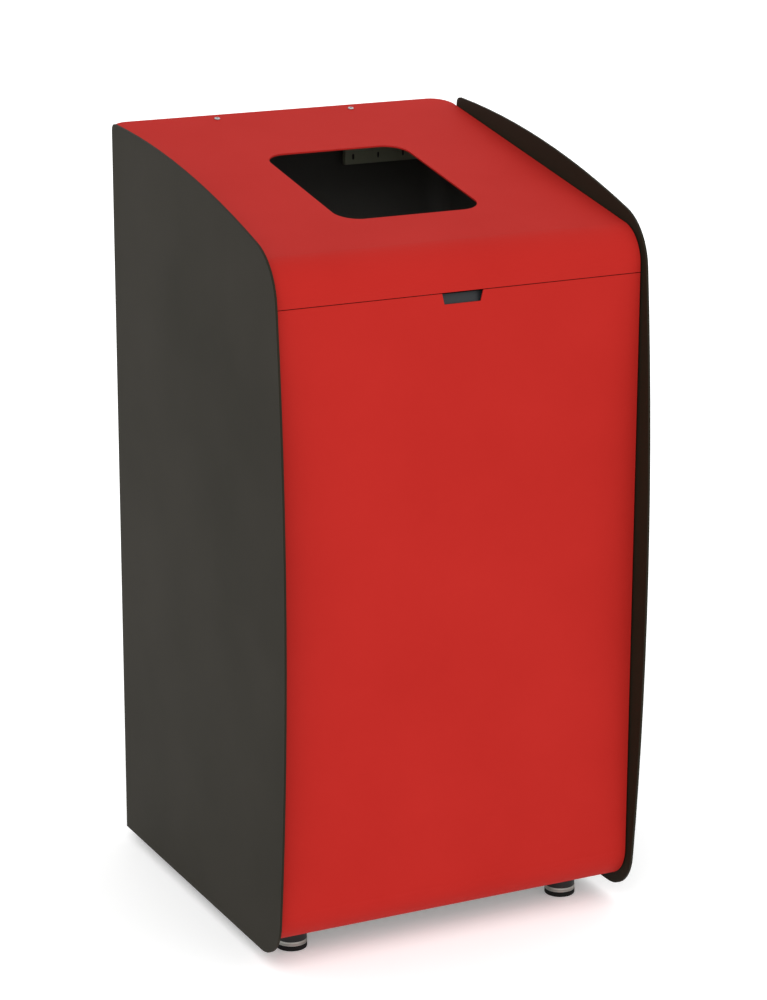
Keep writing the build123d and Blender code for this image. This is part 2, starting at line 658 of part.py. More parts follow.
for name, height in (("lower", 330.0), ("upper", 600.0)):
    with BuildPart() as stiffener:
        near = DOOR_INNER_Y + SHEET / 2
        far = DOOR_INNER_Y + STIFFENER_DEPTH
        with BuildSketch(Plane.YZ.offset(-STIFFENER_X)):
            with BuildLine():
                Polyline(
                    (near, height - STIFFENER_EDGE),
                    (near, height - STIFFENER_FOOT),
                    (far, height - STIFFENER_CROWN),
                    (far, height + STIFFENER_CROWN),
                    (near, height + STIFFENER_FOOT),
                    (near, height + STIFFENER_EDGE),
                )
            trace(line_width=SHEET)
        extrude(amount=2 * STIFFENER_X)
    save(stiffener, f"door_stiffener_{name}")

# ================================================================ finger pull
PULL_HOUSING_X = 38.0
PULL_HOUSING_BOTTOM = DOOR_TOP - 31.5
PULL_WALL = 1.5
PULL_HOUSING_DEPTH = 19.0
PULL_TAB = 12.0
PULL_SCREW_X = PULL_HOUSING_X + 7.0
PULL_SCREW_Z = DOOR_TOP - 16.5
PULL_STUD_RADIUS = 2.0
PULL_STUD_LENGTH = 4.0
PULL_NUT_RADIUS = 3.6
PULL_NUT_HEIGHT = 3.0
PULL_FIT = 0.1
FLAP_PIVOT_Y = DOOR_INNER_Y + 4.2
FLAP_PIVOT_Z = DOOR_TOP - 20.5
FLAP_PIN = 1.5
FLAP_PIN_END = 2.0
FLAP_BARREL = 3.2
FLAP_LENGTH = 18.0
FLAP_TILT = 18.0
FLAP_X = 31.0
FLAP_THICKNESS = 2.2
FLAP_FIT = 0.05
FLAP_SPRING_GAP = 16.0

with BuildPart() as housing:
    with BuildSketch(Plane.XY.offset(PULL_HOUSING_BOTTOM)):
        with BuildLine():
            Polyline(
                (-PULL_HOUSING_X - PULL_TAB, DOOR_INNER_Y + PULL_WALL / 2),
                (-PULL_HOUSING_X, DOOR_INNER_Y + PULL_WALL / 2),
                (-PULL_HOUSING_X, DOOR_INNER_Y + PULL_HOUSING_DEPTH),
                (PULL_HOUSING_X, DOOR_INNER_Y + PULL_HOUSING_DEPTH),
                (PULL_HOUSING_X, DOOR_INNER_Y + PULL_WALL / 2),
                (PULL_HOUSING_X + PULL_TAB, DOOR_INNER_Y + PULL_WALL / 2),
            )
        trace(line_width=PULL_WALL)
    extrude(amount=DOOR_TOP - DOOR_SEAM - PULL_HOUSING_BOTTOM)
    with BuildSketch(Plane.XY.offset(PULL_HOUSING_BOTTOM)):
        with Locations((0, DOOR_INNER_Y + 2 * PULL_FIT)):
            Rectangle(2 * PULL_HOUSING_X, PULL_HOUSING_DEPTH, align=(Align.CENTER, Align.MIN))
    extrude(amount=PULL_WALL)
    with BuildSketch(Plane.YZ.offset(-PULL_HOUSING_X - PAST)):
        with Locations((FLAP_PIVOT_Y, FLAP_PIVOT_Z)):
            Circle(FLAP_PIN + FLAP_FIT)
    extrude(amount=2 * (PULL_HOUSING_X + PAST), mode=Mode.SUBTRACT)
    with BuildSketch(Plane.XZ.offset(-DOOR_INNER_Y)):
        with GridLocations(2 * PULL_SCREW_X, 0, 2, 1):
            with Locations((0, PULL_SCREW_Z)):
                Circle(PULL_STUD_RADIUS + PULL_FIT)
    extrude(amount=-PAST, mode=Mode.SUBTRACT)
save(housing, "pull_housing")

with BuildPart() as flap:
    with BuildSketch(Plane.YZ.offset(-FLAP_X)):
        with Locations((FLAP_PIVOT_Y, FLAP_PIVOT_Z)):
            Circle(FLAP_BARREL)
            with Locations(Location((0, 0), -FLAP_TILT)):
                with Locations((-FLAP_BARREL, 0)):
                    Rectangle(FLAP_THICKNESS, FLAP_LENGTH, align=(Align.MIN, Align.MIN))
        with Locations((FLAP_PIVOT_Y, FLAP_PIVOT_Z)):
            Circle(FLAP_PIN + FLAP_FIT, mode=Mode.SUBTRACT)
    extrude(amount=2 * FLAP_X)
    with BuildSketch(Plane.XY.offset(FLAP_PIVOT_Z - FLAP_BARREL - 1)):
        with Locations((0, FLAP_PIVOT_Y)):
            Rectangle(FLAP_SPRING_GAP, 4 * FLAP_BARREL)
    extrude(amount=2 * FLAP_BARREL + 2, mode=Mode.SUBTRACT)
save(flap, "finger_flap")

with BuildPart() as flap_pin:
    with BuildSketch(Plane.YZ.offset(-PULL_HOUSING_X - FLAP_PIN_END)):
        with Locations((FLAP_PIVOT_Y, FLAP_PIVOT_Z)):
            Circle(FLAP_PIN)
    extrude(amount=2 * (PULL_HOUSING_X + FLAP_PIN_END))
save(flap_pin, "flap_pin")

SPRING_COILS = 5
SPRING_WIRE = 0.5
SPRING_PITCH = 1.6
SPRING_OUTER = 2.9
SPRING_INNER = 2.1
SPRING_OFFSET = 0.3
SPRING_LEG = 11.0

with BuildPart() as spring:
    for turn in range(SPRING_COILS):
        with BuildSketch(Plane.YZ.offset((turn - SPRING_COILS / 2) * SPRING_PITCH)):
            with Locations((FLAP_PIVOT_Y + SPRING_OFFSET, FLAP_PIVOT_Z)):
                Circle(SPRING_OUTER)
                Circle(SPRING_INNER, mode=Mode.SUBTRACT)
        extrude(amount=SPRING_PITCH + PULL_FIT)
    with BuildSketch(Plane.YZ.offset(-SPRING_WIRE)):
        with Locations((FLAP_PIVOT_Y + SPRING_OUTER - SPRING_OFFSET, FLAP_PIVOT_Z)):
            Rectangle(SPRING_LEG, 2 * SPRING_WIRE, align=(Align.MIN, Align.CENTER))
    extrude(amount=2 * SPRING_WIRE)
save(spring, "flap_spring")

with BuildPart() as pull_screws:
    with BuildSketch(Plane.XZ.offset(-DOOR_INNER_Y)):
        with GridLocations(2 * PULL_SCREW_X, 0, 2, 1):
            with Locations((0, PULL_SCREW_Z)):
                Circle(PULL_STUD_RADIUS)
    extrude(amount=-PULL_STUD_LENGTH)
    with BuildSketch(Plane.XZ.offset(-DOOR_INNER_Y - PULL_WALL - PULL_FIT)):
        with GridLocations(2 * PULL_SCREW_X, 0, 2, 1):
            with Locations((0, PULL_SCREW_Z)):
                RegularPolygon(PULL_NUT_RADIUS, 6)
    extrude(amount=-PULL_NUT_HEIGHT)
save(pull_screws, "pull_screws")

# ================================================================ sack frame
with BuildPart() as sack_frame:
    with BuildLine(Plane.XY.offset(FRAME_Z)):
        FilletPolyline(
            (-FRAME_HALF_WIDTH, FRAME_BACK_Y),
            (FRAME_HALF_WIDTH, FRAME_BACK_Y),
            (FRAME_HALF_WIDTH, FRAME_FRONT_Y),
            (-FRAME_HALF_WIDTH, FRAME_FRONT_Y),
            radius=FRAME_CORNER,
            close=True,
        )
    with BuildSketch(Plane(origin=(0, FRAME_BACK_Y, FRAME_Z), z_dir=(1, 0, 0))):
        Circle(FRAME_ROD)
    sweep()
save(sack_frame, "sack_frame")

CLIP_LENGTH = 30.0
CLIP_WALL = 1.6
CLIP_FIT = 0.1
CLIP_SIDE_Y = 40.0
CLIP_FRONT_X = FRAME_HALF_WIDTH / 2
CLIP_MOUTH = 6.0
CLIP_CUT = 20.0

with BuildPart() as clips:
    for side in (-1, 1):
        with BuildSketch(Plane.XZ.offset(-CLIP_SIDE_Y)):
            with Locations((side * FRAME_HALF_WIDTH, FRAME_Z)):
                Circle(FRAME_ROD + CLIP_FIT + CLIP_WALL)
                Circle(FRAME_ROD + CLIP_FIT, mode=Mode.SUBTRACT)
                Rectangle(CLIP_MOUTH, CLIP_CUT, align=(Align.CENTER, Align.MAX), mode=Mode.SUBTRACT)
        extrude(amount=CLIP_LENGTH)
        with BuildSketch(Plane.YZ.offset(side * CLIP_FRONT_X)):
            with Locations((FRAME_FRONT_Y, FRAME_Z)):
                Circle(FRAME_ROD + CLIP_FIT + CLIP_WALL)
                Circle(FRAME_ROD + CLIP_FIT, mode=Mode.SUBTRACT)
                Rectangle(CLIP_MOUTH, CLIP_CUT, align=(Align.CENTER, Align.MAX), mode=Mode.SUBTRACT)
        extrude(amount=CLIP_LENGTH / 2, both=True)
save(clips, "sack_clips")

EAR_X = FRAME_HALF_WIDTH - 79.0
EAR_THICKNESS = 4.0
EAR_RADIUS = 10.0
EAR_PLATE_WIDTH = 44.0
EAR_PLATE_HEIGHT = 26.0
EAR_PLATE = 2.0

for name, side in SIDES:
    with BuildPart() as ear:
        with BuildSketch(Plane.YZ.offset(side * EAR_X - EAR_THICKNESS / 2)):
            with Locations((FRAME_BACK_Y, FRAME_Z)):
                Circle(EAR_RADIUS)
                Rectangle(BACK_INNER_Y - FRAME_BACK_Y, 2 * EAR_RADIUS, align=(Align.MIN, Align.CENTER))
                Circle(FRAME_ROD + FRAME_FIT, mode=Mode.SUBTRACT)
        extrude(amount=EAR_THICKNESS)
        with BuildSketch(Plane.XZ.offset(-BACK_INNER_Y)):
            with Locations((side * EAR_X, FRAME_Z)):
                Rectangle(EAR_PLATE_WIDTH, EAR_PLATE_HEIGHT)
        extrude(amount=EAR_PLATE)
    save(ear, f"frame_hinge_{name}")

REST_Y = -120.0
REST_REACH = 28.0
REST_LENGTH = 36.0
REST_HEIGHT = 24.0
REST_THICKNESS = 2.0
REST_GAP = 0.3

with BuildPart() as rests:
    for side in (-1, 1):
        align = (Align.MAX if side > 0 else Align.MIN, Align.CENTER)
        with BuildSketch(Plane.XY.offset(FRAME_Z - FRAME_ROD - REST_GAP)):
            with Locations((side * TRAY_X, REST_Y)):
                Rectangle(REST_REACH, REST_LENGTH, align=align)
        extrude(amount=-REST_THICKNESS)
        with BuildSketch(Plane.XY.offset(FRAME_Z - FRAME_ROD - REST_GAP)):
            with Locations((side * TRAY_X, REST_Y)):
                Rectangle(REST_THICKNESS, REST_LENGTH, align=align)
        extrude(amount=-REST_HEIGHT)
save(rests, "frame_rests")
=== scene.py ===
"""Litter bin with bowed side panels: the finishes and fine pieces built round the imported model.

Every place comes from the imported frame, in metres. Each class holds the sizes that it uses.
"""

import logging
import math
from dataclasses import dataclass, field
from enum import Enum

import bmesh
import bpy
from mathutils import Matrix, Vector


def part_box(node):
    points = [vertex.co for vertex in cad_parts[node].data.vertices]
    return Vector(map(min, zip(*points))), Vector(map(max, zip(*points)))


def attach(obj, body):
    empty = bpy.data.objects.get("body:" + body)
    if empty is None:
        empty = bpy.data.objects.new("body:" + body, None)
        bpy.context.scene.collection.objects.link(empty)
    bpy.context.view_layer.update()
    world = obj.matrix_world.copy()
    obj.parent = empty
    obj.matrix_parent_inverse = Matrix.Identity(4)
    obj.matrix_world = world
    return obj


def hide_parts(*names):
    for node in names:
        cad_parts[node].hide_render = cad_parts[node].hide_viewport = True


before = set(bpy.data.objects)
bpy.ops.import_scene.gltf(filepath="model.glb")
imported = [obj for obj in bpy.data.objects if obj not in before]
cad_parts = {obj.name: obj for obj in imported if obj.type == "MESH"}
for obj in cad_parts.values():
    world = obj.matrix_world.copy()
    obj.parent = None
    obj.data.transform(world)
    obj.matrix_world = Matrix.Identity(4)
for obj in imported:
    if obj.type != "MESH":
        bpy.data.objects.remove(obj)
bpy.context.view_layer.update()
LOG = logging.getLogger("litter_bin")
MM = 0.001

# Points nearer than this, in metres, are one: within a loft, and within a model node.
LOFT_WELD = 1e-7
SOLID_WELD = 1e-6
# Edges that turn by more than this stay sharp.
SHARP_ANGLE = math.radians(32)
# Shares of the cloud noise over which the tint and the roughness go from one end to the other.
TINT_RANGE = (0.35, 0.7)
WEAR_RANGE = (0.3, 0.7)


# ---- colour and node helpers
def linear(hex_colour: str) -> tuple[float, float, float, float]:
    """Turn an sRGB hex colour into linear RGBA.

    Args:
        hex_colour: six hex digits, such as "c1302b".

    Returns:
        Linear red, green and blue, and an alpha of one.
    """
    channels = [int(hex_colour[i:i + 2], 16) / 255 for i in (0, 2, 4)]
    red, green, blue = (
        c / 12.92 if c <= 0.04045 else ((c + 0.055) / 1.055) ** 2.4 for c in channels
    )
    return (red, green, blue, 1.0)


def add_node(
    tree: bpy.types.NodeTree, kind: str, settings: dict | None = None, **inputs: object
) -> bpy.types.Node:
    """Add one node with its settings, values and links.

    Args:
        tree: the node tree that gets the node.
        kind: the node's type name.
        settings: properties of the node itself.
        inputs: socket values or source sockets. Underscores in a name stand for spaces, and
            i with a number picks a socket by its place.

    Returns:
        The new node.
    """
    node = tree.nodes.new(kind)
    for key, value in (settings or {}).items():
        setattr(node, key, value)
    for key, value in inputs.items():
        by_place = key[0] == "i" and key[1:].isdigit()
        socket = node.inputs[int(key[1:]) if by_place else key.replace("_", " ")]
        if isinstance(value, bpy.types.NodeSocket):
            tree.links.new(value, socket)
        else:
            socket.default_value = value
    return node


class Grain(Enum):
    """How a surface was made, which sets the pattern of its fine relief."""

    ORANGE_PEEL = "smooth powder coat, flowed out with a slight orange peel"
    SAND = "fine-texture powder coat, like very fine sandpaper"
    MOULDED = "spark-eroded moulding grain"
    TURNED = "concentric lathe marks"
    SPANGLE = "bright zinc plate with faint blotches"


@dataclass(frozen=True)
class Finish:
    """One real finish: what it is made of, how it was made and how worn it is.

    Attributes:
        name: the material's name.
        base: main colour, sRGB hex.
        shade: darker or duller companion colour, sRGB hex.
        grain: how the surface was made.
        grain_mm: size of one grain of the relief, in millimetres.
        relief_mm: height of the relief, in millimetres.
        roughness: mean roughness.
        roughness_spread: how far the roughness wanders either way.
        metallic: one for bare metal, zero for coats and plastics.
        specular: strength of the dielectric reflection; 0.5 is the usual plastic.
        cloud_mm: size of the slow colour clouds, in millimetres.
    """

    name: str
    base: str
    shade: str
    grain: Grain
    grain_mm: float
    relief_mm: float
    roughness: float
    roughness_spread: float
    metallic: float = 0.0
    specular: float = 0.5
    cloud_mm: float = 180.0

    def material(self) -> bpy.types.Material:
        """Build the node material, once.

        Returns:
            The material, the same one each time.
        """
        known = bpy.data.materials.get(self.name)
        if known is not None:
            return known
        made = bpy.data.materials.new(self.name)
        made.use_nodes = True
        made.diffuse_color = linear(self.base)
        tree = made.node_tree
        tree.nodes.clear()
        place = add_node(tree, "ShaderNodeTexCoord")
        at = place.outputs["Object"]
        height = self._relief(tree, at)
        clouds = add_node(
            tree, "ShaderNodeTexNoise",
            Vector=at, Scale=1 / (self.cloud_mm * MM), Detail=4.0, Roughness=0.55,
        )
        tint = add_node(
            tree, "ShaderNodeMapRange",
            Value=clouds.outputs["Fac"], From_Min=TINT_RANGE[0], From_Max=TINT_RANGE[1],
        )
        colour = add_node(
            tree, "ShaderNodeMix", {"data_type": "RGBA"},
            i0=tint.outputs["Result"], i6=linear(self.base), i7=linear(self.shade),
        )
        spread = add_node(
            tree, "ShaderNodeMapRange",
            Value=clouds.outputs["Fac"], From_Min=WEAR_RANGE[0], From_Max=WEAR_RANGE[1],
            To_Min=self.roughness - self.roughness_spread,
            To_Max=self.roughness + self.roughness_spread,
        )
        bump = add_node(
            tree, "ShaderNodeBump", Height=height, Strength=1.0, Distance=self.relief_mm * MM
        )
        shader = add_node(
            tree, "ShaderNodeBsdfPrincipled",
            Base_Color=colour.outputs[2], Roughness=spread.outputs["Result"],
            Metallic=self.metallic, Specular_IOR_Level=self.specular,
            Normal=bump.outputs["Normal"],
        )
        add_node(tree, "ShaderNodeOutputMaterial", Surface=shader.outputs["BSDF"])
        return made

    def _relief(self, tree: bpy.types.NodeTree, at: bpy.types.NodeSocket) -> bpy.types.NodeSocket:
        """Make the relief's height pattern.

        Args:
            tree: the material's node tree.
            at: the socket that gives the place on the object.

        Returns:
            A height from zero to one.
        """
        scale = 1 / (self.grain_mm * MM)
        if self.grain in (Grain.ORANGE_PEEL, Grain.SPANGLE):
            wave = add_node(
                tree, "ShaderNodeTexNoise", Vector=at, Scale=scale, Detail=2.0, Roughness=0.4
            )
            return wave.outputs["Fac"]
        if self.grain is Grain.TURNED:
            rings = add_node(
                tree, "ShaderNodeTexWave", {"wave_type": "BANDS", "bands_direction": "Z"},
                Vector=at, Scale=scale, Distortion=0.6, Detail=1.0,
            )
            return rings.outputs["Fac"]
        cells = add_node(
            tree, "ShaderNodeTexVoronoi", {"feature": "SMOOTH_F1"},
            Vector=at, Scale=scale, Smoothness=0.6,
        )
        haze = add_node(tree, "ShaderNodeTexNoise", Vector=at, Scale=scale * 0.45, Detail=3.0)
        both = add_node(
            tree, "ShaderNodeMath", {"operation": "ADD"},
            i0=cells.outputs["Distance"], i1=haze.outputs["Fac"],
        )
        return both.outputs["Value"]


# Powder coat cures to a hard, matt polyester skin with an orange peel a few millimetres across.
RED_COAT = Finish(
    "red_polyester_powder_coat", "a9211b", "a51f19", Grain.ORANGE_PEEL,
    2.6, 0.03, 0.7, 0.02, specular=0.08,
)
# Fine-texture coats scatter light off a sandy surface. The grain is drawn about twice its real
# size, so that it shows.
PANEL_COAT = Finish(
    "anthracite_texture_powder_coat", "201c12", "1d1a10", Grain.SAND,
    1.1, 0.05, 0.65, 0.02, specular=0.12,
)
CARCASS_COAT = Finish(
    "dark_grey_texture_powder_coat", "55544f", "4f4e4a", Grain.SAND,
    1.2, 0.05, 0.65, 0.03, specular=0.25,
)
BRACKET_COAT = Finish(
    "olive_grey_powder_coat", "a6aa92", "9a9e88", Grain.ORANGE_PEEL,
    2.2, 0.03, 0.5, 0.03, specular=0.3,
)
ZINC = Finish(
    "bright_zinc_plated_steel", "c4c7ca", "9ea3a7", Grain.SPANGLE,
    3.0, 0.02, 0.32, 0.08, 1.0, cloud_mm=14.0,
)
TURNED_METAL = Finish(
    "turned_aluminium", "b4b4ae", "9d9d98", Grain.TURNED,
    0.8, 0.02, 0.4, 0.05, 1.0, cloud_mm=20.0,
)
BLACK_PLASTIC = Finish(
    "moulded_black_polypropylene", "0f0f0f", "0b0b0b", Grain.MOULDED,
    0.9, 0.03, 0.5, 0.05, specular=0.35,
)
PULL_PLASTIC = Finish(
    "moulded_dark_grey_nylon", "20262a", "1d2020", Grain.MOULDED,
    0.8, 0.03, 0.45, 0.05, specular=0.35,
)
NYLON = Finish(
    "turned_natural_nylon", "ddd9cc", "cfcabb", Grain.TURNED,
    0.6, 0.01, 0.4, 0.05, cloud_mm=20.0,
)
RUBBER = Finish(
    "moulded_black_rubber", "0c0c0c", "080808", Grain.MOULDED,
    1.0, 0.04, 0.75, 0.06, cloud_mm=20.0, specular=0.25,
)
MAGNET_STEEL = Finish(
    "ground_mild_steel", "8d8f92", "77797c", Grain.TURNED,
    0.5, 0.01, 0.3, 0.06, 1.0, cloud_mm=12.0,
)


def dress(finish: Finish, *nodes: str) -> None:
    """Give whole model nodes one finish.

    Args:
        finish: the finish they get.
        nodes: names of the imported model's nodes.
    """
    for name in nodes:
        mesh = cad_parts[name].data
        mesh.materials.clear()
        mesh.materials.append(finish.material())


# ---- mesh helpers
def ring(radius: float, height: float, sides: int = 48) -> list[Vector]:
    """Points round a circle about Z.

    Args:
        radius: the circle's radius.
        height: the ring's height.
        sides: number of points.

    Returns:
        The points, from +X towards +Y.
    """
    turn = 2 * math.pi / sides
    return [
        Vector((radius * math.cos(i * turn), radius * math.sin(i * turn), height))
        for i in range(sides)
    ]


def hexagon(flat: float, height: float, sides: int = 48) -> list[Vector]:
    """Points round a regular hexagon about Z.

    Args:
        flat: distance from the middle to a flat.
        height: the ring's height.
        sides: number of points, a multiple of six.

    Returns:
        The points, at the same angles as a ring's.
    """
    points = []
    for i in range(sides):
        angle = 2 * math.pi * i / sides
        reach = flat / math.cos((angle + math.pi / 6) % (math.pi / 3) - math.pi / 6)
        points.append(Vector((reach * math.cos(angle), reach * math.sin(angle), height)))
    return points


def loft(name: str, rings: list[list[Vector]], closed: bool = False) -> bpy.types.Mesh:
    """Skin a stack of rings.

    Args:
        name: the mesh's name.
        rings: rings with the same number of points each.
        closed: whether the last ring joins the first, as round a hole.

    Returns:
        A closed mesh whose faces point outwards.
    """
    build = bmesh.new()
    layers = [[build.verts.new(point) for point in points] for points in rings]
    count = len(layers[0])
    pairs = list(zip(layers, layers[1:]))
    if closed:
        pairs.append((layers[-1], layers[0]))
    for lower, upper in pairs:
        for i in range(count):
            j = (i + 1) % count
            build.faces.new((lower[i], lower[j], upper[j], upper[i]))
    if not closed:
        build.faces.new(list(reversed(layers[0])))
        build.faces.new(layers[-1])
    bmesh.ops.remove_doubles(build, verts=build.verts, dist=LOFT_WELD)
    bmesh.ops.recalc_face_normals(build, faces=build.faces)
    mesh = bpy.data.meshes.new(name)
    build.to_mesh(mesh)
    build.free()
    return mesh


def finished(
    name: str, mesh: bpy.types.Mesh, finish: Finish, body: str
) -> bpy.types.Object:
    """Put a mesh in the scene as a piece of the bin.

    Args:
        name: the piece's name.
        mesh: its mesh, already in place.
        finish: its finish.
        body: the body it rides on.

    Returns:
        The piece.
    """
    piece = bpy.data.objects.new(name, mesh)
    bpy.context.scene.collection.objects.link(piece)
    mesh.materials.clear()
    mesh.materials.append(finish.material())
    mesh.polygons.foreach_set("use_smooth", [True] * len(mesh.polygons))
    mesh.set_sharp_from_angle(angle=SHARP_ANGLE)
    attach(piece, body)
    LOG.info("built %s on %s, %d faces", name, body, len(mesh.polygons))
    return piece


class NodeGroup:
    """A geometry node tree with named inputs, run once to give a plain mesh."""

    def __init__(self, name: str) -> None:
        """Start an empty tree with a geometry input and output.

        Args:
            name: the tree's name.
        """
        self.tree = bpy.data.node_groups.new(name, "GeometryNodeTree")
        face = self.tree.interface
        face.new_socket("Geometry", in_out="INPUT", socket_type="NodeSocketGeometry")
        face.new_socket("Geometry", in_out="OUTPUT", socket_type="NodeSocketGeometry")
        self.values: dict[str, object] = {}
        self.entry: bpy.types.Node | None = None

    def wants(self, name: str, socket_type: str, value: object) -> None:
        """Declare a named input.

        Args:
            name: the input's name.
            socket_type: its socket type.
            value: what the modifier sets it to.
        """
        socket = self.tree.interface.new_socket(name, in_out="INPUT", socket_type=socket_type)
        self.values[socket.identifier] = value

    def start(self) -> bpy.types.Node:
        """Add the group's input node, after every input is declared.

        Returns:
            The input node.
        """
        self.entry = self.tree.nodes.new("NodeGroupInput")
        return self.entry

    def end(self, geometry: bpy.types.NodeSocket) -> None:
        """Realize the instances, set the finish and close the tree.

        Args:
            geometry: the socket that gives the shape.
        """
        real = add_node(self.tree, "GeometryNodeRealizeInstances", Geometry=geometry)
        coated = add_node(
            self.tree, "GeometryNodeSetMaterial",
            Geometry=real.outputs["Geometry"], Material=self.entry.outputs["Finish"],
        )
        out = self.tree.nodes.new("NodeGroupOutput")
        self.tree.links.new(coated.outputs["Geometry"], out.inputs["Geometry"])

    def run(self, name: str, carrier: bpy.types.Mesh) -> bpy.types.Mesh:
        """Run the tree on a carrier mesh.

        Args:
            name: name of the resulting mesh.
            carrier: mesh that the modifier sits on.

        Returns:
            A plain mesh with no modifier left on it.
        """
        host = bpy.data.objects.new(name + "_host", carrier)
        bpy.context.scene.collection.objects.link(host)
        modifier = host.modifiers.new("shape", "NODES")
        modifier.node_group = self.tree
        for identifier, value in self.values.items():
            modifier[identifier] = value
        depsgraph = bpy.context.evaluated_depsgraph_get()
        mesh = bpy.data.meshes.new_from_object(host.evaluated_get(depsgraph))
        mesh.name = name
        host.modifiers.remove(modifier)
        bpy.data.objects.remove(host)
        return mesh


def repeat(
    name: str, template: bpy.types.Mesh, places: list[tuple[Vector, Vector]], finish: Finish
) -> bpy.types.Mesh:
    """Set copies of a fastener at several places.

    Args:
        name: name of the resulting mesh.
        template: the fastener, standing on the origin along +Z.
        places: each copy's seat, and the way its head points.
        finish: its finish.

    Returns:
        One mesh with all the copies.
    """
    model = bpy.data.objects.new(name + "_template", template)
    carrier = bpy.data.meshes.new(name + "_places")
    carrier.from_pydata([tuple(seat) for seat, _ in places], [], [])
    facing = carrier.attributes.new("facing", "FLOAT_VECTOR", "POINT")
    facing.data.foreach_set("vector", [value for _, way in places for value in way])
    group = NodeGroup(name + "_pattern")
    group.wants("Fastener", "NodeSocketObject", model)
    group.wants("Finish", "NodeSocketMaterial", finish.material())
    group.wants("Scale", "NodeSocketFloat", 1.0)
    entry = group.start()
    tree = group.tree
    info = add_node(tree, "GeometryNodeObjectInfo", Object=entry.outputs["Fastener"])
    way = add_node(
        tree, "GeometryNodeInputNamedAttribute", {"data_type": "FLOAT_VECTOR"}, Name="facing"
    )
    turn = add_node(
        tree, "FunctionNodeAlignRotationToVector", {"axis": "Z"}, Vector=way.outputs[0]
    )
    points = add_node(tree, "GeometryNodeMeshToPoints", Mesh=entry.outputs["Geometry"])
    copies = add_node(
        tree, "GeometryNodeInstanceOnPoints", Points=points.outputs["Points"],
        Instance=info.outputs["Geometry"], Rotation=turn.outputs["Rotation"],
    )
    sized = add_node(
        tree, "GeometryNodeScaleInstances",
        Instances=copies.outputs["Instances"], Scale=entry.outputs["Scale"],
    )
    group.end(sized.outputs["Instances"])
    mesh = group.run(name, carrier)
    bpy.data.objects.remove(model)
    return mesh


@dataclass
class Helix:
    """A round or angular wire wound about an axis: a thread or a coil spring.

    Attributes:
        radius: from the axis to the wire's middle.
        pitch: rise for each turn.
        turns: number of turns.
        wire: radius of the wire.
        steps: points for each turn.
    """

    radius: float
    pitch: float
    turns: float
    wire: float
    steps: int = 28

    def mesh(self, name: str, finish: Finish, sides: int = 6) -> bpy.types.Mesh:
        """Wind the wire up +Z from the origin.

        Args:
            name: name of the mesh.
            finish: its finish.
            sides: sides of the wire's section.

        Returns:
            A closed mesh.
        """
        group = NodeGroup(name + "_winding")
        sizes = {"Radius": self.radius, "Height": self.pitch * self.turns, "Turns": self.turns}
        for label, value in {**sizes, "Wire": self.wire}.items():
            group.wants(label, "NodeSocketFloat", value)
        group.wants("Finish", "NodeSocketMaterial", finish.material())
        entry = group.start()
        tree = group.tree
        spiral = add_node(
            tree, "GeometryNodeCurveSpiral", Resolution=self.steps,
            Rotations=entry.outputs["Turns"], Start_Radius=entry.outputs["Radius"],
            End_Radius=entry.outputs["Radius"], Height=entry.outputs["Height"],
        )
        section = add_node(
            tree, "GeometryNodeCurvePrimitiveCircle", {"mode": "RADIUS"},
            Resolution=sides, Radius=entry.outputs["Wire"],
        )
        tube = add_node(
            tree, "GeometryNodeCurveToMesh", Curve=spiral.outputs["Curve"],
            Profile_Curve=section.outputs["Curve"], Fill_Caps=True,
        )
        group.end(tube.outputs["Mesh"])
        return group.run(name, bpy.data.meshes.new(name + "_empty"))


def moved(mesh: bpy.types.Mesh, matrix: Matrix) -> bpy.types.Mesh:
    """Put a mesh in its place.

    Args:
        mesh: the mesh, which is changed.
        matrix: the move.

    Returns:
        The same mesh.
    """
    mesh.transform(matrix)
    mesh.update()
    return mesh


def joined(name: str, meshes: list[bpy.types.Mesh]) -> bpy.types.Mesh:
    """Join several meshes into one.

    Args:
        name: name of the resulting mesh.
        meshes: the meshes to join.

    Returns:
        A new mesh, with no material.
    """
    build = bmesh.new()
    for mesh in meshes:
        build.from_mesh(mesh)
    result = bpy.data.meshes.new(name)
    build.to_mesh(result)
    build.free()
    return result


def solid_boxes(name: str) -> list[tuple[Vector, Vector]]:
    """Find the corners of each separate solid in a node.

    Args:
        name: the node's name.

    Returns:
        The lowest and highest corner of each solid, in order of height, depth and width.
    """
    build = bmesh.new()
    build.from_mesh(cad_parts[name].data)
    bmesh.ops.remove_doubles(build, verts=build.verts, dist=SOLID_WELD)
    left = set(build.verts)
    boxes = []
    while left:
        heap = [left.pop()]
        group = []
        while heap:
            vertex = heap.pop()
            group.append(vertex.co.copy())
            for edge in vertex.link_edges:
                other = edge.other_vert(vertex)
                if other in left:
                    left.remove(other)
                    heap.append(other)
        low = Vector([min(point[axis] for point in group) for axis in range(3)])
        high = Vector([max(point[axis] for point in group) for axis in range(3)])
        boxes.append((low, high))
    build.free()
    return sorted(boxes, key=lambda pair: tuple(round(pair[0][axis], 4) for axis in (2, 1, 0)))


def block(low: Vector, high: Vector, edge: float) -> bpy.types.Mesh:
    """Make a block with rounded edges.

    Args:
        low: its lowest corner.
        high: its highest corner.
        edge: radius of its edges.

    Returns:
        A closed mesh.
    """
    build = bmesh.new()
    bmesh.ops.create_cube(build, size=1)
    size = high - low
    for vertex in build.verts:
        vertex.co = Vector([low[i] + (vertex.co[i] + 0.5) * size[i] for i in range(3)])
    edges = list(build.edges)
    bmesh.ops.bevel(build, geom=edges, offset=edge, segments=3, affect="EDGES", profile=0.5)
    bmesh.ops.recalc_face_normals(build, faces=build.faces)
    mesh = bpy.data.meshes.new("block")
    build.to_mesh(mesh)
    build.free()
    return mesh


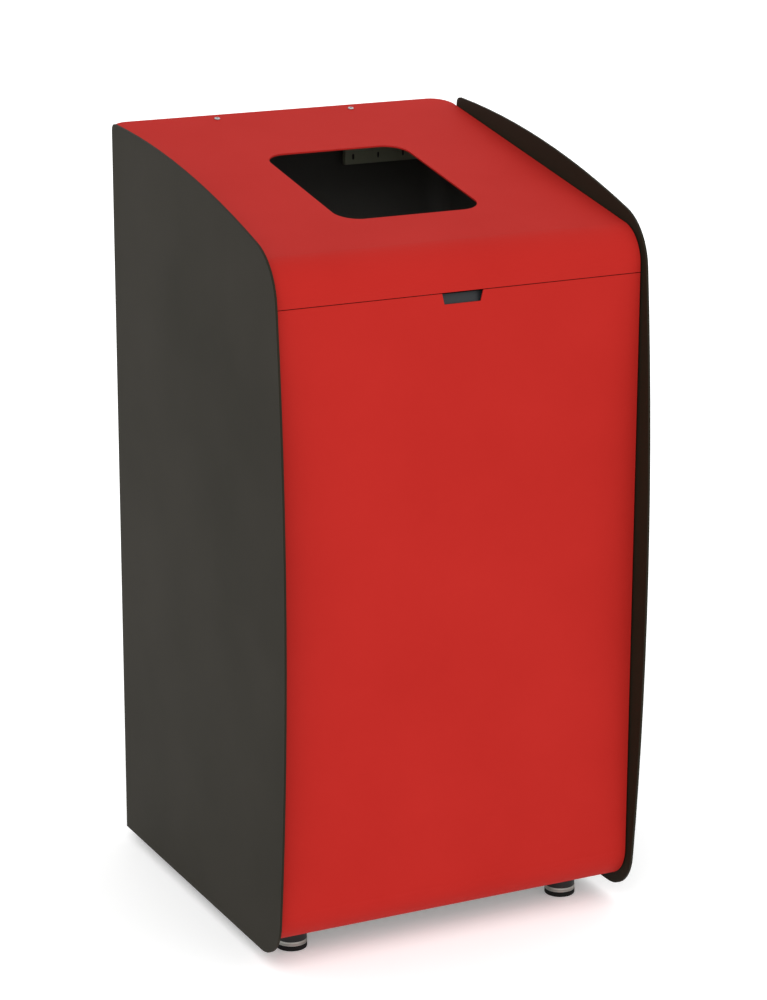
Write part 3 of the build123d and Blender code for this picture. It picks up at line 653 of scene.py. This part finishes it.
# ---- fasteners
@dataclass
class ButtonScrew:
    """A button-head screw with a hexagon socket.

    Attributes:
        head_radius: radius of the head.
        head_height: height of the head.
        brim: share of the head's height that its square edge takes.
        crown: the head's outline above the brim, as shares of its height and radius.
        socket_flat: from the socket's middle to a flat.
        socket_floor: the socket's floor, as a share of the head's height.
        cone_width: radius of the drill cone's end, as a share of socket_flat.
        cone_floor: the drill cone's end, as a share of the head's height.
        shank_radius: radius of the shank.
        shank_length: length of the shank.
        tip_width: the shank's end, as a share of its radius.
        tip_length: length of the shank's tapered end.
        seat_width: the head's underside, as a share of its radius.
    """

    head_radius: float = 3.9 * MM
    head_height: float = 1.6 * MM
    brim: float = 0.15
    crown: tuple[tuple[float, float], ...] = (
        (0.0, 1.0), (0.35, 0.985), (0.65, 0.9), (0.88, 0.72), (1.0, 0.5),
    )
    socket_flat: float = 1.5 * MM
    socket_floor: float = 0.35
    cone_width: float = 0.3
    cone_floor: float = 0.25
    shank_radius: float = 2.1 * MM
    shank_length: float = 12.0 * MM
    tip_width: float = 0.8
    tip_length: float = 0.5 * MM
    seat_width: float = 0.97

    def mesh(self, name: str) -> bpy.types.Mesh:
        """Turn the head and shank, with the socket sunk in the crown.

        Args:
            name: the mesh's name.

        Returns:
            The screw, its head standing on the origin along +Z.
        """
        rings = [
            ring(self.shank_radius * self.tip_width, -self.shank_length),
            ring(self.shank_radius, -self.shank_length + self.tip_length),
            ring(self.shank_radius, 0),
            ring(self.head_radius * self.seat_width, 0),
        ]
        for height, width in self.crown:
            level = self.head_height * (self.brim + (1 - self.brim) * height)
            rings.append(ring(self.head_radius * width, level))
        rings += [
            hexagon(self.socket_flat, self.head_height),
            hexagon(self.socket_flat, self.head_height * self.socket_floor),
            ring(self.socket_flat * self.cone_width, self.head_height * self.cone_floor),
        ]
        return loft(name, rings)


@dataclass
class FlangeNut:
    """A hexagon nut on a round flange.

    Attributes:
        flat: from the middle to a flat.
        bore: radius of the hole.
        flange_radius: radius of the flange.
        flange_edge: height of the flange's edge.
        flange_top: height at which the hexagon starts.
        height: the nut's height.
        corner_drop: how far below the top the corners are cut off.
        crown_width: the top's radius, as a share of flat.
        bore_edge: size of the bevel round the hole.
    """

    flat: float = 5.0 * MM
    bore: float = 3.05 * MM
    flange_radius: float = 5.7 * MM
    flange_edge: float = 0.6 * MM
    flange_top: float = 1.5 * MM
    height: float = 5.0 * MM
    corner_drop: float = 0.7 * MM
    crown_width: float = 0.95
    bore_edge: float = 0.4 * MM

    def mesh(self, name: str) -> bpy.types.Mesh:
        """Loft the nut round its bore.

        Args:
            name: the mesh's name.

        Returns:
            The nut, standing on the origin along +Z.
        """
        rings = [
            ring(self.bore, 0),
            ring(self.flange_radius, 0),
            ring(self.flange_radius, self.flange_edge),
            hexagon(self.flat, self.flange_top),
            hexagon(self.flat, self.height - self.corner_drop),
            ring(self.flat * self.crown_width, self.height),
            ring(self.bore + self.bore_edge, self.height),
            ring(self.bore, self.height - self.bore_edge),
        ]
        return loft(name, rings, closed=True)


@dataclass
class ThreadedStud:
    """A welded stud with a rolled thread and a weld fillet at its root.

    Attributes:
        radius: radius over the thread.
        length: the stud's length.
        pitch: rise of the thread for each turn.
        thread_depth: depth of the thread.
        thread_wire: radius of the ridge that is wound on the core.
        thread_start: plain length at the root, and at the tip.
        weld_width: how far the weld fillet stands out.
        weld_top: height of the weld fillet.
        root_top: height at which the core starts.
        tip: size of the bevel at the tip.
    """

    radius: float = 3.0 * MM
    length: float = 16.0 * MM
    pitch: float = 1.0 * MM
    thread_depth: float = 0.35 * MM
    thread_wire: float = 0.34 * MM
    thread_start: float = 2.0 * MM
    weld_width: float = 0.9 * MM
    weld_top: float = 0.8 * MM
    root_top: float = 1.6 * MM
    tip: float = 0.5 * MM

    def mesh(self, name: str) -> bpy.types.Mesh:
        """Turn the core, then wind the thread on it.

        Args:
            name: the start of the mesh's name.

        Returns:
            The stud, standing on the origin along +Z.
        """
        core = self.radius - self.thread_depth
        rings = [
            ring(self.radius + self.weld_width, 0),
            ring(self.radius, self.weld_top),
            ring(core, self.root_top),
            ring(core, self.length - self.tip),
            ring(core - self.tip, self.length),
        ]
        turns = (self.length - 2 * self.thread_start) / self.pitch
        thread = Helix(core, self.pitch, turns, self.thread_wire).mesh(name + "_thread", ZINC, 4)
        moved(thread, Matrix.Translation((0, 0, self.thread_start)))
        return joined(name, [loft(name + "_core", rings), thread])


@dataclass
class DomeRivet:
    """A domed blind rivet: the shank, and the collapsed tail inside.

    Attributes:
        tail_radius: radius of the tail.
        tail_height: height of the tail.
        tail_outline: the tail's outline, as shares of its radius and height.
        shank_radius: radius of the shank.
        shank_end: the outer end: share of the radius, millimetres short of the length.
    """

    tail_radius: float = 4.0 * MM
    tail_height: float = 1.2 * MM
    tail_outline: tuple[tuple[float, float], ...] = (
        (1.0, 0.0), (1.0, 0.25), (0.85, 0.7), (0.55, 0.95), (0.2, 1.0),
    )
    shank_radius: float = 2.4 * MM
    shank_end: tuple[tuple[float, float], ...] = ((1.0, 0.5), (0.9, 0.15), (0.5, 0.0), (0.42, 0.4))

    def tail(self, name: str) -> bpy.types.Mesh:
        """Turn the upset tail.

        Args:
            name: the mesh's name.

        Returns:
            The tail, standing on the origin along +Z.
        """
        rings = [
            ring(self.tail_radius * width, self.tail_height * height)
            for width, height in self.tail_outline
        ]
        return loft(name, rings)

    def shank(self, name: str, length: float) -> bpy.types.Mesh:
        """Turn the shank, with the dimple at its outer end.

        Args:
            name: the mesh's name.
            length: the shank's length.

        Returns:
            The shank, standing on the origin along +Z.
        """
        rings = [ring(self.shank_radius, 0)]
        for width, short in self.shank_end:
            rings.append(ring(self.shank_radius * width, length - short * MM))
        return loft(name, rings)


@dataclass
class RubberBuffer:
    """A ribbed rubber buffer, made to the size of the model's own.

    Attributes:
        ribs: number of ribs.
        base: the base's height, as a share of the length.
        first_rib: where the ribs start, as a share of the length.
        rib_pitch: from rib to rib, as a share of the length.
        taper: share of the radius lost over the whole length.
        clearance: how far the ribs stay within that taper.
        rib: one rib's outline: share of the length, millimetres inside its widest.
        nose: the nose's outline, as shares of the radius and length.
    """

    ribs: int = 3
    base: float = 0.08
    first_rib: float = 0.1
    rib_pitch: float = 0.2
    taper: float = 0.12
    clearance: float = 0.2 * MM
    rib: tuple[tuple[float, float], ...] = ((0.04, 0.5), (0.1, 0.0), (0.16, 0.1))
    nose: tuple[tuple[float, float], ...] = ((0.72, 0.8), (0.6, 0.93), (0.35, 1.0))

    def mesh(self, name: str, radius: float, length: float) -> bpy.types.Mesh:
        """Stack the base, the ribs and the nose.

        Args:
            name: the mesh's name.
            radius: the base's radius.
            length: the buffer's length.

        Returns:
            The buffer, standing on the origin along +Z.
        """
        rings = [ring(radius, 0), ring(radius, self.base * length)]
        for number in range(self.ribs):
            start = self.first_rib + self.rib_pitch * number
            wide = radius * (1 - self.taper * start) - self.clearance
            for rise, inside in self.rib:
                rings.append(ring(wide - inside * MM, (start + rise) * length))
        rings += [ring(radius * width, height * length) for width, height in self.nose]
        return loft(name, rings)


@dataclass
class MagneticCatch:
    """A moulded case with two steel pole plates in its face.

    Attributes:
        recess: how far the case's face lies behind the plates.
        case_edge: radius of the case's edges.
        pole_offset: from the middle to each plate.
        pole_inset: from the case's ends to the plates' ends.
        pole_half: half of a plate's thickness.
        pole_back: how far the plates stay short of the case's back.
        pole_edge: radius of the plates' edges.
    """

    recess: float = 0.6 * MM
    case_edge: float = 1.2 * MM
    pole_offset: float = 4.0 * MM
    pole_inset: float = 5.0 * MM
    pole_half: float = 1.2 * MM
    pole_back: float = 1.0 * MM
    pole_edge: float = 0.2 * MM

    def case(self, low: Vector, high: Vector) -> bpy.types.Mesh:
        """Make the case.

        Args:
            low: the catch's lowest corner.
            high: the catch's highest corner.

        Returns:
            The case, in place.
        """
        return block(low + Vector((0, self.recess, 0)), high, self.case_edge)

    def poles(self, low: Vector, high: Vector) -> list[bpy.types.Mesh]:
        """Make the two pole plates.

        Args:
            low: the catch's lowest corner.
            high: the catch's highest corner.

        Returns:
            The plates, in place.
        """
        plates = []
        for pole in (-1, 1):
            middle = (low.z + high.z) / 2 + pole * self.pole_offset
            near = Vector((low.x + self.pole_inset, low.y, middle - self.pole_half))
            far = Vector(
                (high.x - self.pole_inset, high.y - self.pole_back, middle + self.pole_half)
            )
            plates.append(block(near, far, self.pole_edge))
        return plates


# ---- sub-assemblies
@dataclass
class SidePanels:
    """The two bowed side plates with their welded studs, spacers and nuts.

    Attributes:
        stud: the studs, welded to the plates.
        nut: the nuts on the studs.
    """

    stud: ThreadedStud = field(default_factory=ThreadedStud)
    nut: FlangeNut = field(default_factory=FlangeNut)

    def build(self) -> None:
        """Dress the plates and make the fixings."""
        dress(PANEL_COAT, "left_side_panel", "right_side_panel")
        dress(ZINC, "panel_spacers")
        self._fit("panel_studs", self.stud.mesh("stud"))
        self._fit("panel_nuts", self.nut.mesh("nut"))

    def _fit(self, node: str, template: bpy.types.Mesh) -> None:
        """Set one kind of fixing on both plates, starting from its side nearer the plate.

        Args:
            node: the node that the fixings stand for.
            template: the fixing, along +Z.
        """
        places = []
        for low, high in solid_boxes(node):
            side = math.copysign(1, low.x + high.x)
            seat = max(abs(low.x), abs(high.x))
            middle = (low + high) / 2
            places.append((Vector((side * seat, middle.y, middle.z)), Vector((-side, 0, 0))))
        mesh = repeat(node + "_detail", template, places, ZINC)
        piece = finished(node + "_detail", mesh, ZINC, "carcass")
        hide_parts(node)


@dataclass
class Hood:
    """The red hood, its brackets, screws and rivets.

    Attributes:
        slope: how far the hood's top falls towards the front, in radians.
        screw: the screws in the hood's top.
        rivet: the rivets in the back wall.
    """

    slope: float = math.radians(9.79)
    screw: ButtonScrew = field(default_factory=ButtonScrew)
    rivet: DomeRivet = field(default_factory=DomeRivet)

    def build(self) -> None:
        """Dress the hood and make its fixings."""
        dress(RED_COAT, "hood")
        dress(BRACKET_COAT, "hood_bracket_left", "hood_bracket_right")
        self._screws()
        self._rivets()

    def _screws(self) -> None:
        """Set the two button screws square to the sloping hood."""
        fall, level = math.sin(self.slope), math.cos(self.slope)
        radius, height = self.screw.head_radius, self.screw.head_height
        places = []
        for low, high in solid_boxes("hood_screws"):
            seat = Vector((
                (low.x + high.x) / 2,
                low.y + radius * level + height * fall,
                high.z - radius * fall - height * level,
            ))
            places.append((seat, Vector((0, -fall, level))))
        mesh = repeat("hood_button_screws", self.screw.mesh("button_screw"), places, ZINC)
        piece = finished("hood_button_screws", mesh, ZINC, "carcass")
        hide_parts("hood_screws")

    def _rivets(self) -> None:
        """Set the rivets through the back wall, with their tails inside."""
        places = []
        shanks = []
        for low, high in solid_boxes("bracket_rivets"):
            middle = (low + high) / 2
            tail = Vector((middle.x, low.y + self.rivet.tail_height, middle.z))
            places.append((tail, Vector((0, -1, 0))))
            turn = Matrix.Translation(tail) @ Matrix.Rotation(-math.pi / 2, 4, "X")
            shanks.append(moved(self.rivet.shank("rivet_shank", high.y - tail.y), turn))
        tails = repeat("rivet_tails", self.rivet.tail("rivet_tail"), places, ZINC)
        mesh = joined("bracket_dome_rivets", [tails, *shanks])
        piece = finished("bracket_dome_rivets", mesh, ZINC, "carcass")
        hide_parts("bracket_rivets")


@dataclass
class Carcass:
    """The back shell, base tray, header rail and what is fixed to them.

    Attributes:
        buffer: the buffers on the door jambs.
        catch: the catches under the header rail.
    """

    buffer: RubberBuffer = field(default_factory=RubberBuffer)
    catch: MagneticCatch = field(default_factory=MagneticCatch)

    def build(self) -> None:
        """Dress the folded sheet and make the buffers and catches."""
        dress(
            CARCASS_COAT, "back_shell", "base_tray", "header_rail", "frame_rests", "door_stops",
            "frame_hinge_left", "frame_hinge_right",
        )
        dress(ZINC, "foot_weld_nuts", "hinge_pins")
        self._buffers()
        self._catches()

    def _buffers(self) -> None:
        """Make the ribbed rubber buffers on the door jambs."""
        boxes = solid_boxes("door_buffers")
        low, high = boxes[0]
        template = self.buffer.mesh("buffer", (high.x - low.x) / 2, high.y - low.y)
        places = [
            (Vector(((a.x + b.x) / 2, b.y, (a.z + b.z) / 2)), Vector((0, -1, 0))) for a, b in boxes
        ]
        mesh = repeat("ribbed_buffers", template, places, RUBBER)
        piece = finished("ribbed_buffers", mesh, RUBBER, "carcass")
        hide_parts("door_buffers")

    def _catches(self) -> None:
        """Make the magnetic catches."""
        cases = []
        plates = []
        for low, high in solid_boxes("magnet_catches"):
            cases.append(self.catch.case(low, high))
            plates += self.catch.poles(low, high)
        mesh = joined("catch_cases", cases)
        case = finished("catch_cases", mesh, BLACK_PLASTIC, "carcass")
        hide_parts("magnet_catches")
        mesh = joined("catch_pole_plates", plates)
        finished("catch_pole_plates", mesh, MAGNET_STEEL, "carcass")


@dataclass
class Door:
    """The drop-down door, its returns, stiffeners, bushes and keepers."""

    def build(self) -> None:
        """Dress the door."""
        dress(RED_COAT, "door_skin", "door_side_left", "door_side_right")
        dress(CARCASS_COAT, "door_stiffener_lower", "door_stiffener_upper")
        dress(NYLON, "hinge_bushes")
        dress(MAGNET_STEEL, "magnet_keepers")


@dataclass
class FingerPull:
    """The recess in the door's top edge: housing, sprung flap, pin and spring.

    Attributes:
        coil_radius: from the spring's axis to the wire's middle.
        coil_length: length of the coil.
        wire: radius of the wire.
        turns: number of turns.
        sides: sides of the wire's section.
        leg_side: how far the leg starts behind the axis.
        leg_short: how far the leg stays short of the housing.
    """

    coil_radius: float = 2.5 * MM
    coil_length: float = 8.0 * MM
    wire: float = 0.4 * MM
    turns: int = 6
    sides: int = 8
    leg_side: float = 0.3 * MM
    leg_short: float = 0.5 * MM

    def build(self) -> None:
        """Dress the recess and wind its spring."""
        dress(BLACK_PLASTIC, "pull_housing")
        dress(PULL_PLASTIC, "finger_flap")
        dress(ZINC, "flap_pin", "pull_screws")
        self._spring()

    def _spring(self) -> None:
        """Wind the torsion spring round the flap's pin, with a straight leg to the housing."""
        low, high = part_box("flap_pin")
        axis = (Vector(low) + Vector(high)) / 2
        winding = Helix(self.coil_radius, self.coil_length / self.turns, self.turns, self.wire)
        coil = winding.mesh("spring_coil", ZINC, self.sides)
        half = self.coil_length / 2
        turn = Matrix.Rotation(math.pi / 2, 4, "Y")
        moved(coil, Matrix.Translation(axis - Vector((half, 0, 0))) @ turn)
        reach = Vector(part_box("flap_spring")[1]).y - axis.y
        rings = [ring(self.wire, height, self.sides) for height in (0, reach - self.leg_short)]
        leg = loft("spring_leg", rings)
        start = axis + Vector((-half, self.leg_side, -self.coil_radius))
        moved(leg, Matrix.Translation(start) @ Matrix.Rotation(-math.pi / 2, 4, "X"))
        mesh = joined("torsion_spring", [coil, leg])
        piece = finished("torsion_spring", mesh, ZINC, "door")
        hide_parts("flap_spring")


@dataclass
class SackFrame:
    """The hinged wire frame that holds the sack, and its clips."""

    def build(self) -> None:
        """Dress the frame."""
        dress(ZINC, "sack_frame")
        dress(BLACK_PLASTIC, "sack_clips")


@dataclass
class LevellingFoot:
    """One levelling foot: rubber pad, turned ring with a threaded stem, and a moulded cap.

    Attributes:
        name: which foot it is.
        ring_outline: the turned ring: millimetres inside its widest, millimetres above its base.
        stem_radius: radius over the thread.
        thread_depth: depth of the thread.
        thread_pitch: rise of the thread for each turn.
        thread_wire: radius of the ridge that is wound on the core.
        thread_start: plain length between the collar and the thread.
        thread_end: plain length at the stem's top.
        collar_flat: from the middle to a flat of the collar.
        collar_height: height of the collar.
        collar_edge: size of the bevels on the collar.
        tip: size of the bevel at the stem's top.
    """

    name: str
    ring_outline: tuple[tuple[float, float], ...] = (
        (0.8, 0), (0.2, 0.3), (0, 0.9), (0, 2.4), (0.5, 2.8),
        (0.5, 3.2), (0, 3.6), (0, 5.1), (0.2, 5.7), (0.8, 6),
    )
    stem_radius: float = 5.0 * MM
    thread_depth: float = 0.5 * MM
    thread_pitch: float = 1.5 * MM
    thread_wire: float = 0.48 * MM
    thread_start: float = 0.6 * MM
    thread_end: float = 1.4 * MM
    collar_flat: float = 8.5 * MM
    collar_height: float = 5.0 * MM
    collar_edge: float = 0.6 * MM
    tip: float = 0.8 * MM

    def build(self) -> None:
        """Dress the pad and cap and make the turned stem."""
        dress(RUBBER, f"foot_pad_{self.name}")
        dress(BLACK_PLASTIC, f"foot_cap_{self.name}")
        node = f"foot_stem_{self.name}"
        low, high = (Vector(corner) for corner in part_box(node))
        cap_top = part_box(f"foot_cap_{self.name}")[1][2] - low.z
        mesh = self._stem(node, (high.x - low.x) / 2, high.z - low.z, cap_top)
        moved(mesh, Matrix.Translation(((low.x + high.x) / 2, (low.y + high.y) / 2, low.z)))
        piece = finished(
            f"turned_stem_{self.name}", mesh, TURNED_METAL, f"foot_{self.name}"
        )
        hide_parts(node)

    def _stem(self, node: str, wide: float, tall: float, cap_top: float) -> bpy.types.Mesh:
        """Turn the ring, collar and stem, and wind the thread.

        Args:
            node: the node that the stem stands for.
            wide: the ring's radius.
            tall: height of the whole stem.
            cap_top: height of the cap's top, on which the collar sits.

        Returns:
            The stem, standing on the origin along +Z.
        """
        core = self.stem_radius - self.thread_depth
        ring_top = self.ring_outline[-1][1] * MM
        collar_top = cap_top + self.collar_height
        narrow = self.collar_flat - self.collar_edge
        rings = [ring(wide - inside * MM, height * MM) for inside, height in self.ring_outline]
        rings += [
            ring(core, ring_top),
            ring(core, cap_top),
            hexagon(narrow, cap_top),
            hexagon(self.collar_flat, cap_top + self.collar_edge),
            hexagon(self.collar_flat, collar_top - self.collar_edge),
            hexagon(narrow, collar_top),
            ring(core, collar_top),
            ring(core, tall - self.tip),
            ring(core - self.tip, tall),
        ]
        base = collar_top + self.thread_start
        turns = (tall - base - self.thread_end) / self.thread_pitch
        winding = Helix(core, self.thread_pitch, turns, self.thread_wire)
        thread = winding.mesh(node + "_thread", TURNED_METAL, 4)
        moved(thread, Matrix.Translation((0, 0, base)))
        return joined(node + "_turned", [loft(node + "_core", rings), thread])


# ---- studio
@dataclass(frozen=True)
class Sun:
    """One soft, even light far off.

    Attributes:
        name: the light's name.
        way: the way from the bin to the light.
        strength: its strength, in watts per square metre.
        spread: how wide the light looks from the bin, in degrees.
    """

    name: str
    way: tuple[float, float, float]
    strength: float
    spread: float


@dataclass
class Studio:
    """A pale floor, soft light and the camera.

    Attributes:
        camera_place: where the camera stands.
        yaw: how far the camera is turned from +Y towards +X, in radians.
        pitch: how far it looks down, in radians.
        roll: how far it leans, in radians.
        lens: focal length, in millimetres.
        sensor_width: width of the sensor, in millimetres.
        view_end: how far the camera sees.
        floor_size: length of the floor's side.
        floor_roughness: roughness of the floor.
        floor_specular: strength of the floor's reflection.
        floor_glow: the floor's own light, which keeps it pale.
        world_strength: strength of the even light from all round.
        suns: the lights.
        sun_distance: where the lights' holders stand, as a multiple of their way.
    """

    camera_place: tuple[float, float, float] = (-1.717, -3.502, 1.665)
    yaw: float = math.radians(26.35)
    pitch: float = math.radians(16.42)
    roll: float = math.radians(0.16)
    lens: float = 113.8
    sensor_width: float = 36.0
    view_end: float = 60.0
    floor_size: float = 60.0
    floor_roughness: float = 0.9
    floor_specular: float = 0.1
    floor_glow: float = 0.22
    world_strength: float = 1.0
    suns: tuple[Sun, ...] = (
        Sun("key", (-0.50, -0.62, 0.62), 0.8, 40.0),
        Sun("fill", (0.55, -0.55, 0.62), 0.35, 60.0),
    )
    sun_distance: float = 4.0

    def build(self) -> None:
        """Set the floor, the lights, the world and the camera."""
        self._floor()
        self._world()
        for sun in self.suns:
            self._light(sun)
        bpy.context.scene.view_settings.view_transform = "Standard"
        self._camera()

    def _floor(self) -> None:
        """Lay the floor."""
        build = bmesh.new()
        bmesh.ops.create_grid(build, x_segments=2, y_segments=2, size=self.floor_size / 2)
        mesh = bpy.data.meshes.new("floor")
        build.to_mesh(mesh)
        build.free()
        floor = bpy.data.objects.new("floor", mesh)
        bpy.context.scene.collection.objects.link(floor)
        made = bpy.data.materials.new("pale_studio_floor")
        made.use_nodes = True
        shader = made.node_tree.nodes["Principled BSDF"]
        shader.inputs["Base Color"].default_value = linear("fafafa")
        shader.inputs["Roughness"].default_value = self.floor_roughness
        shader.inputs["Specular IOR Level"].default_value = self.floor_specular
        shader.inputs["Emission Color"].default_value = linear("ffffff")
        shader.inputs["Emission Strength"].default_value = self.floor_glow
        mesh.materials.append(made)

    def _world(self) -> None:
        """Light the scene evenly from all round."""
        world = bpy.data.worlds.new("studio")
        world.use_nodes = True
        bpy.context.scene.world = world
        background = world.node_tree.nodes["Background"]
        background.inputs["Color"].default_value = linear("ffffff")
        background.inputs["Strength"].default_value = self.world_strength

    def _light(self, sun: Sun) -> None:
        """Hang one light.

        Args:
            sun: the light.
        """
        lamp = bpy.data.lights.new(sun.name, "SUN")
        lamp.energy = sun.strength
        lamp.angle = math.radians(sun.spread)
        holder = bpy.data.objects.new(sun.name, lamp)
        way = Vector(sun.way)
        holder.location = way * self.sun_distance
        holder.rotation_euler = (-way).to_track_quat("-Z", "Y").to_euler()
        bpy.context.scene.collection.objects.link(holder)

    def _camera(self) -> None:
        """Stand the camera in front of the bin, to its left and above it."""
        data = bpy.data.cameras.new("camera")
        data.lens = self.lens
        data.sensor_width = self.sensor_width
        data.sensor_fit = "AUTO"
        data.clip_end = self.view_end
        camera = bpy.data.objects.new("camera", data)
        forward = Vector((
            math.sin(self.yaw) * math.cos(self.pitch),
            math.cos(self.yaw) * math.cos(self.pitch),
            -math.sin(self.pitch),
        ))
        right = Vector((math.cos(self.yaw), -math.sin(self.yaw), 0))
        up = right.cross(forward)
        tilted_right = math.cos(self.roll) * right + math.sin(self.roll) * up
        tilted_up = math.cos(self.roll) * up - math.sin(self.roll) * right
        turn = Matrix((tilted_right, tilted_up, -forward)).transposed().to_4x4()
        camera.matrix_world = Matrix.Translation(self.camera_place) @ turn
        bpy.context.scene.collection.objects.link(camera)
        bpy.context.scene.camera = camera


def main() -> None:
    """Build every sub-assembly in order, then the studio."""
    logging.basicConfig(level=logging.INFO, format="%(name)s: %(message)s")
    assemblies = [
        SidePanels(), Carcass(), Hood(), Door(), FingerPull(), SackFrame(),
        *[LevellingFoot(name) for name in ("front_left", "front_right", "rear_left", "rear_right")],
    ]
    for assembly in assemblies:
        LOG.info("building %s", type(assembly).__name__)
        assembly.build()
    Studio().build()


if __name__ == "__main__":
    main()
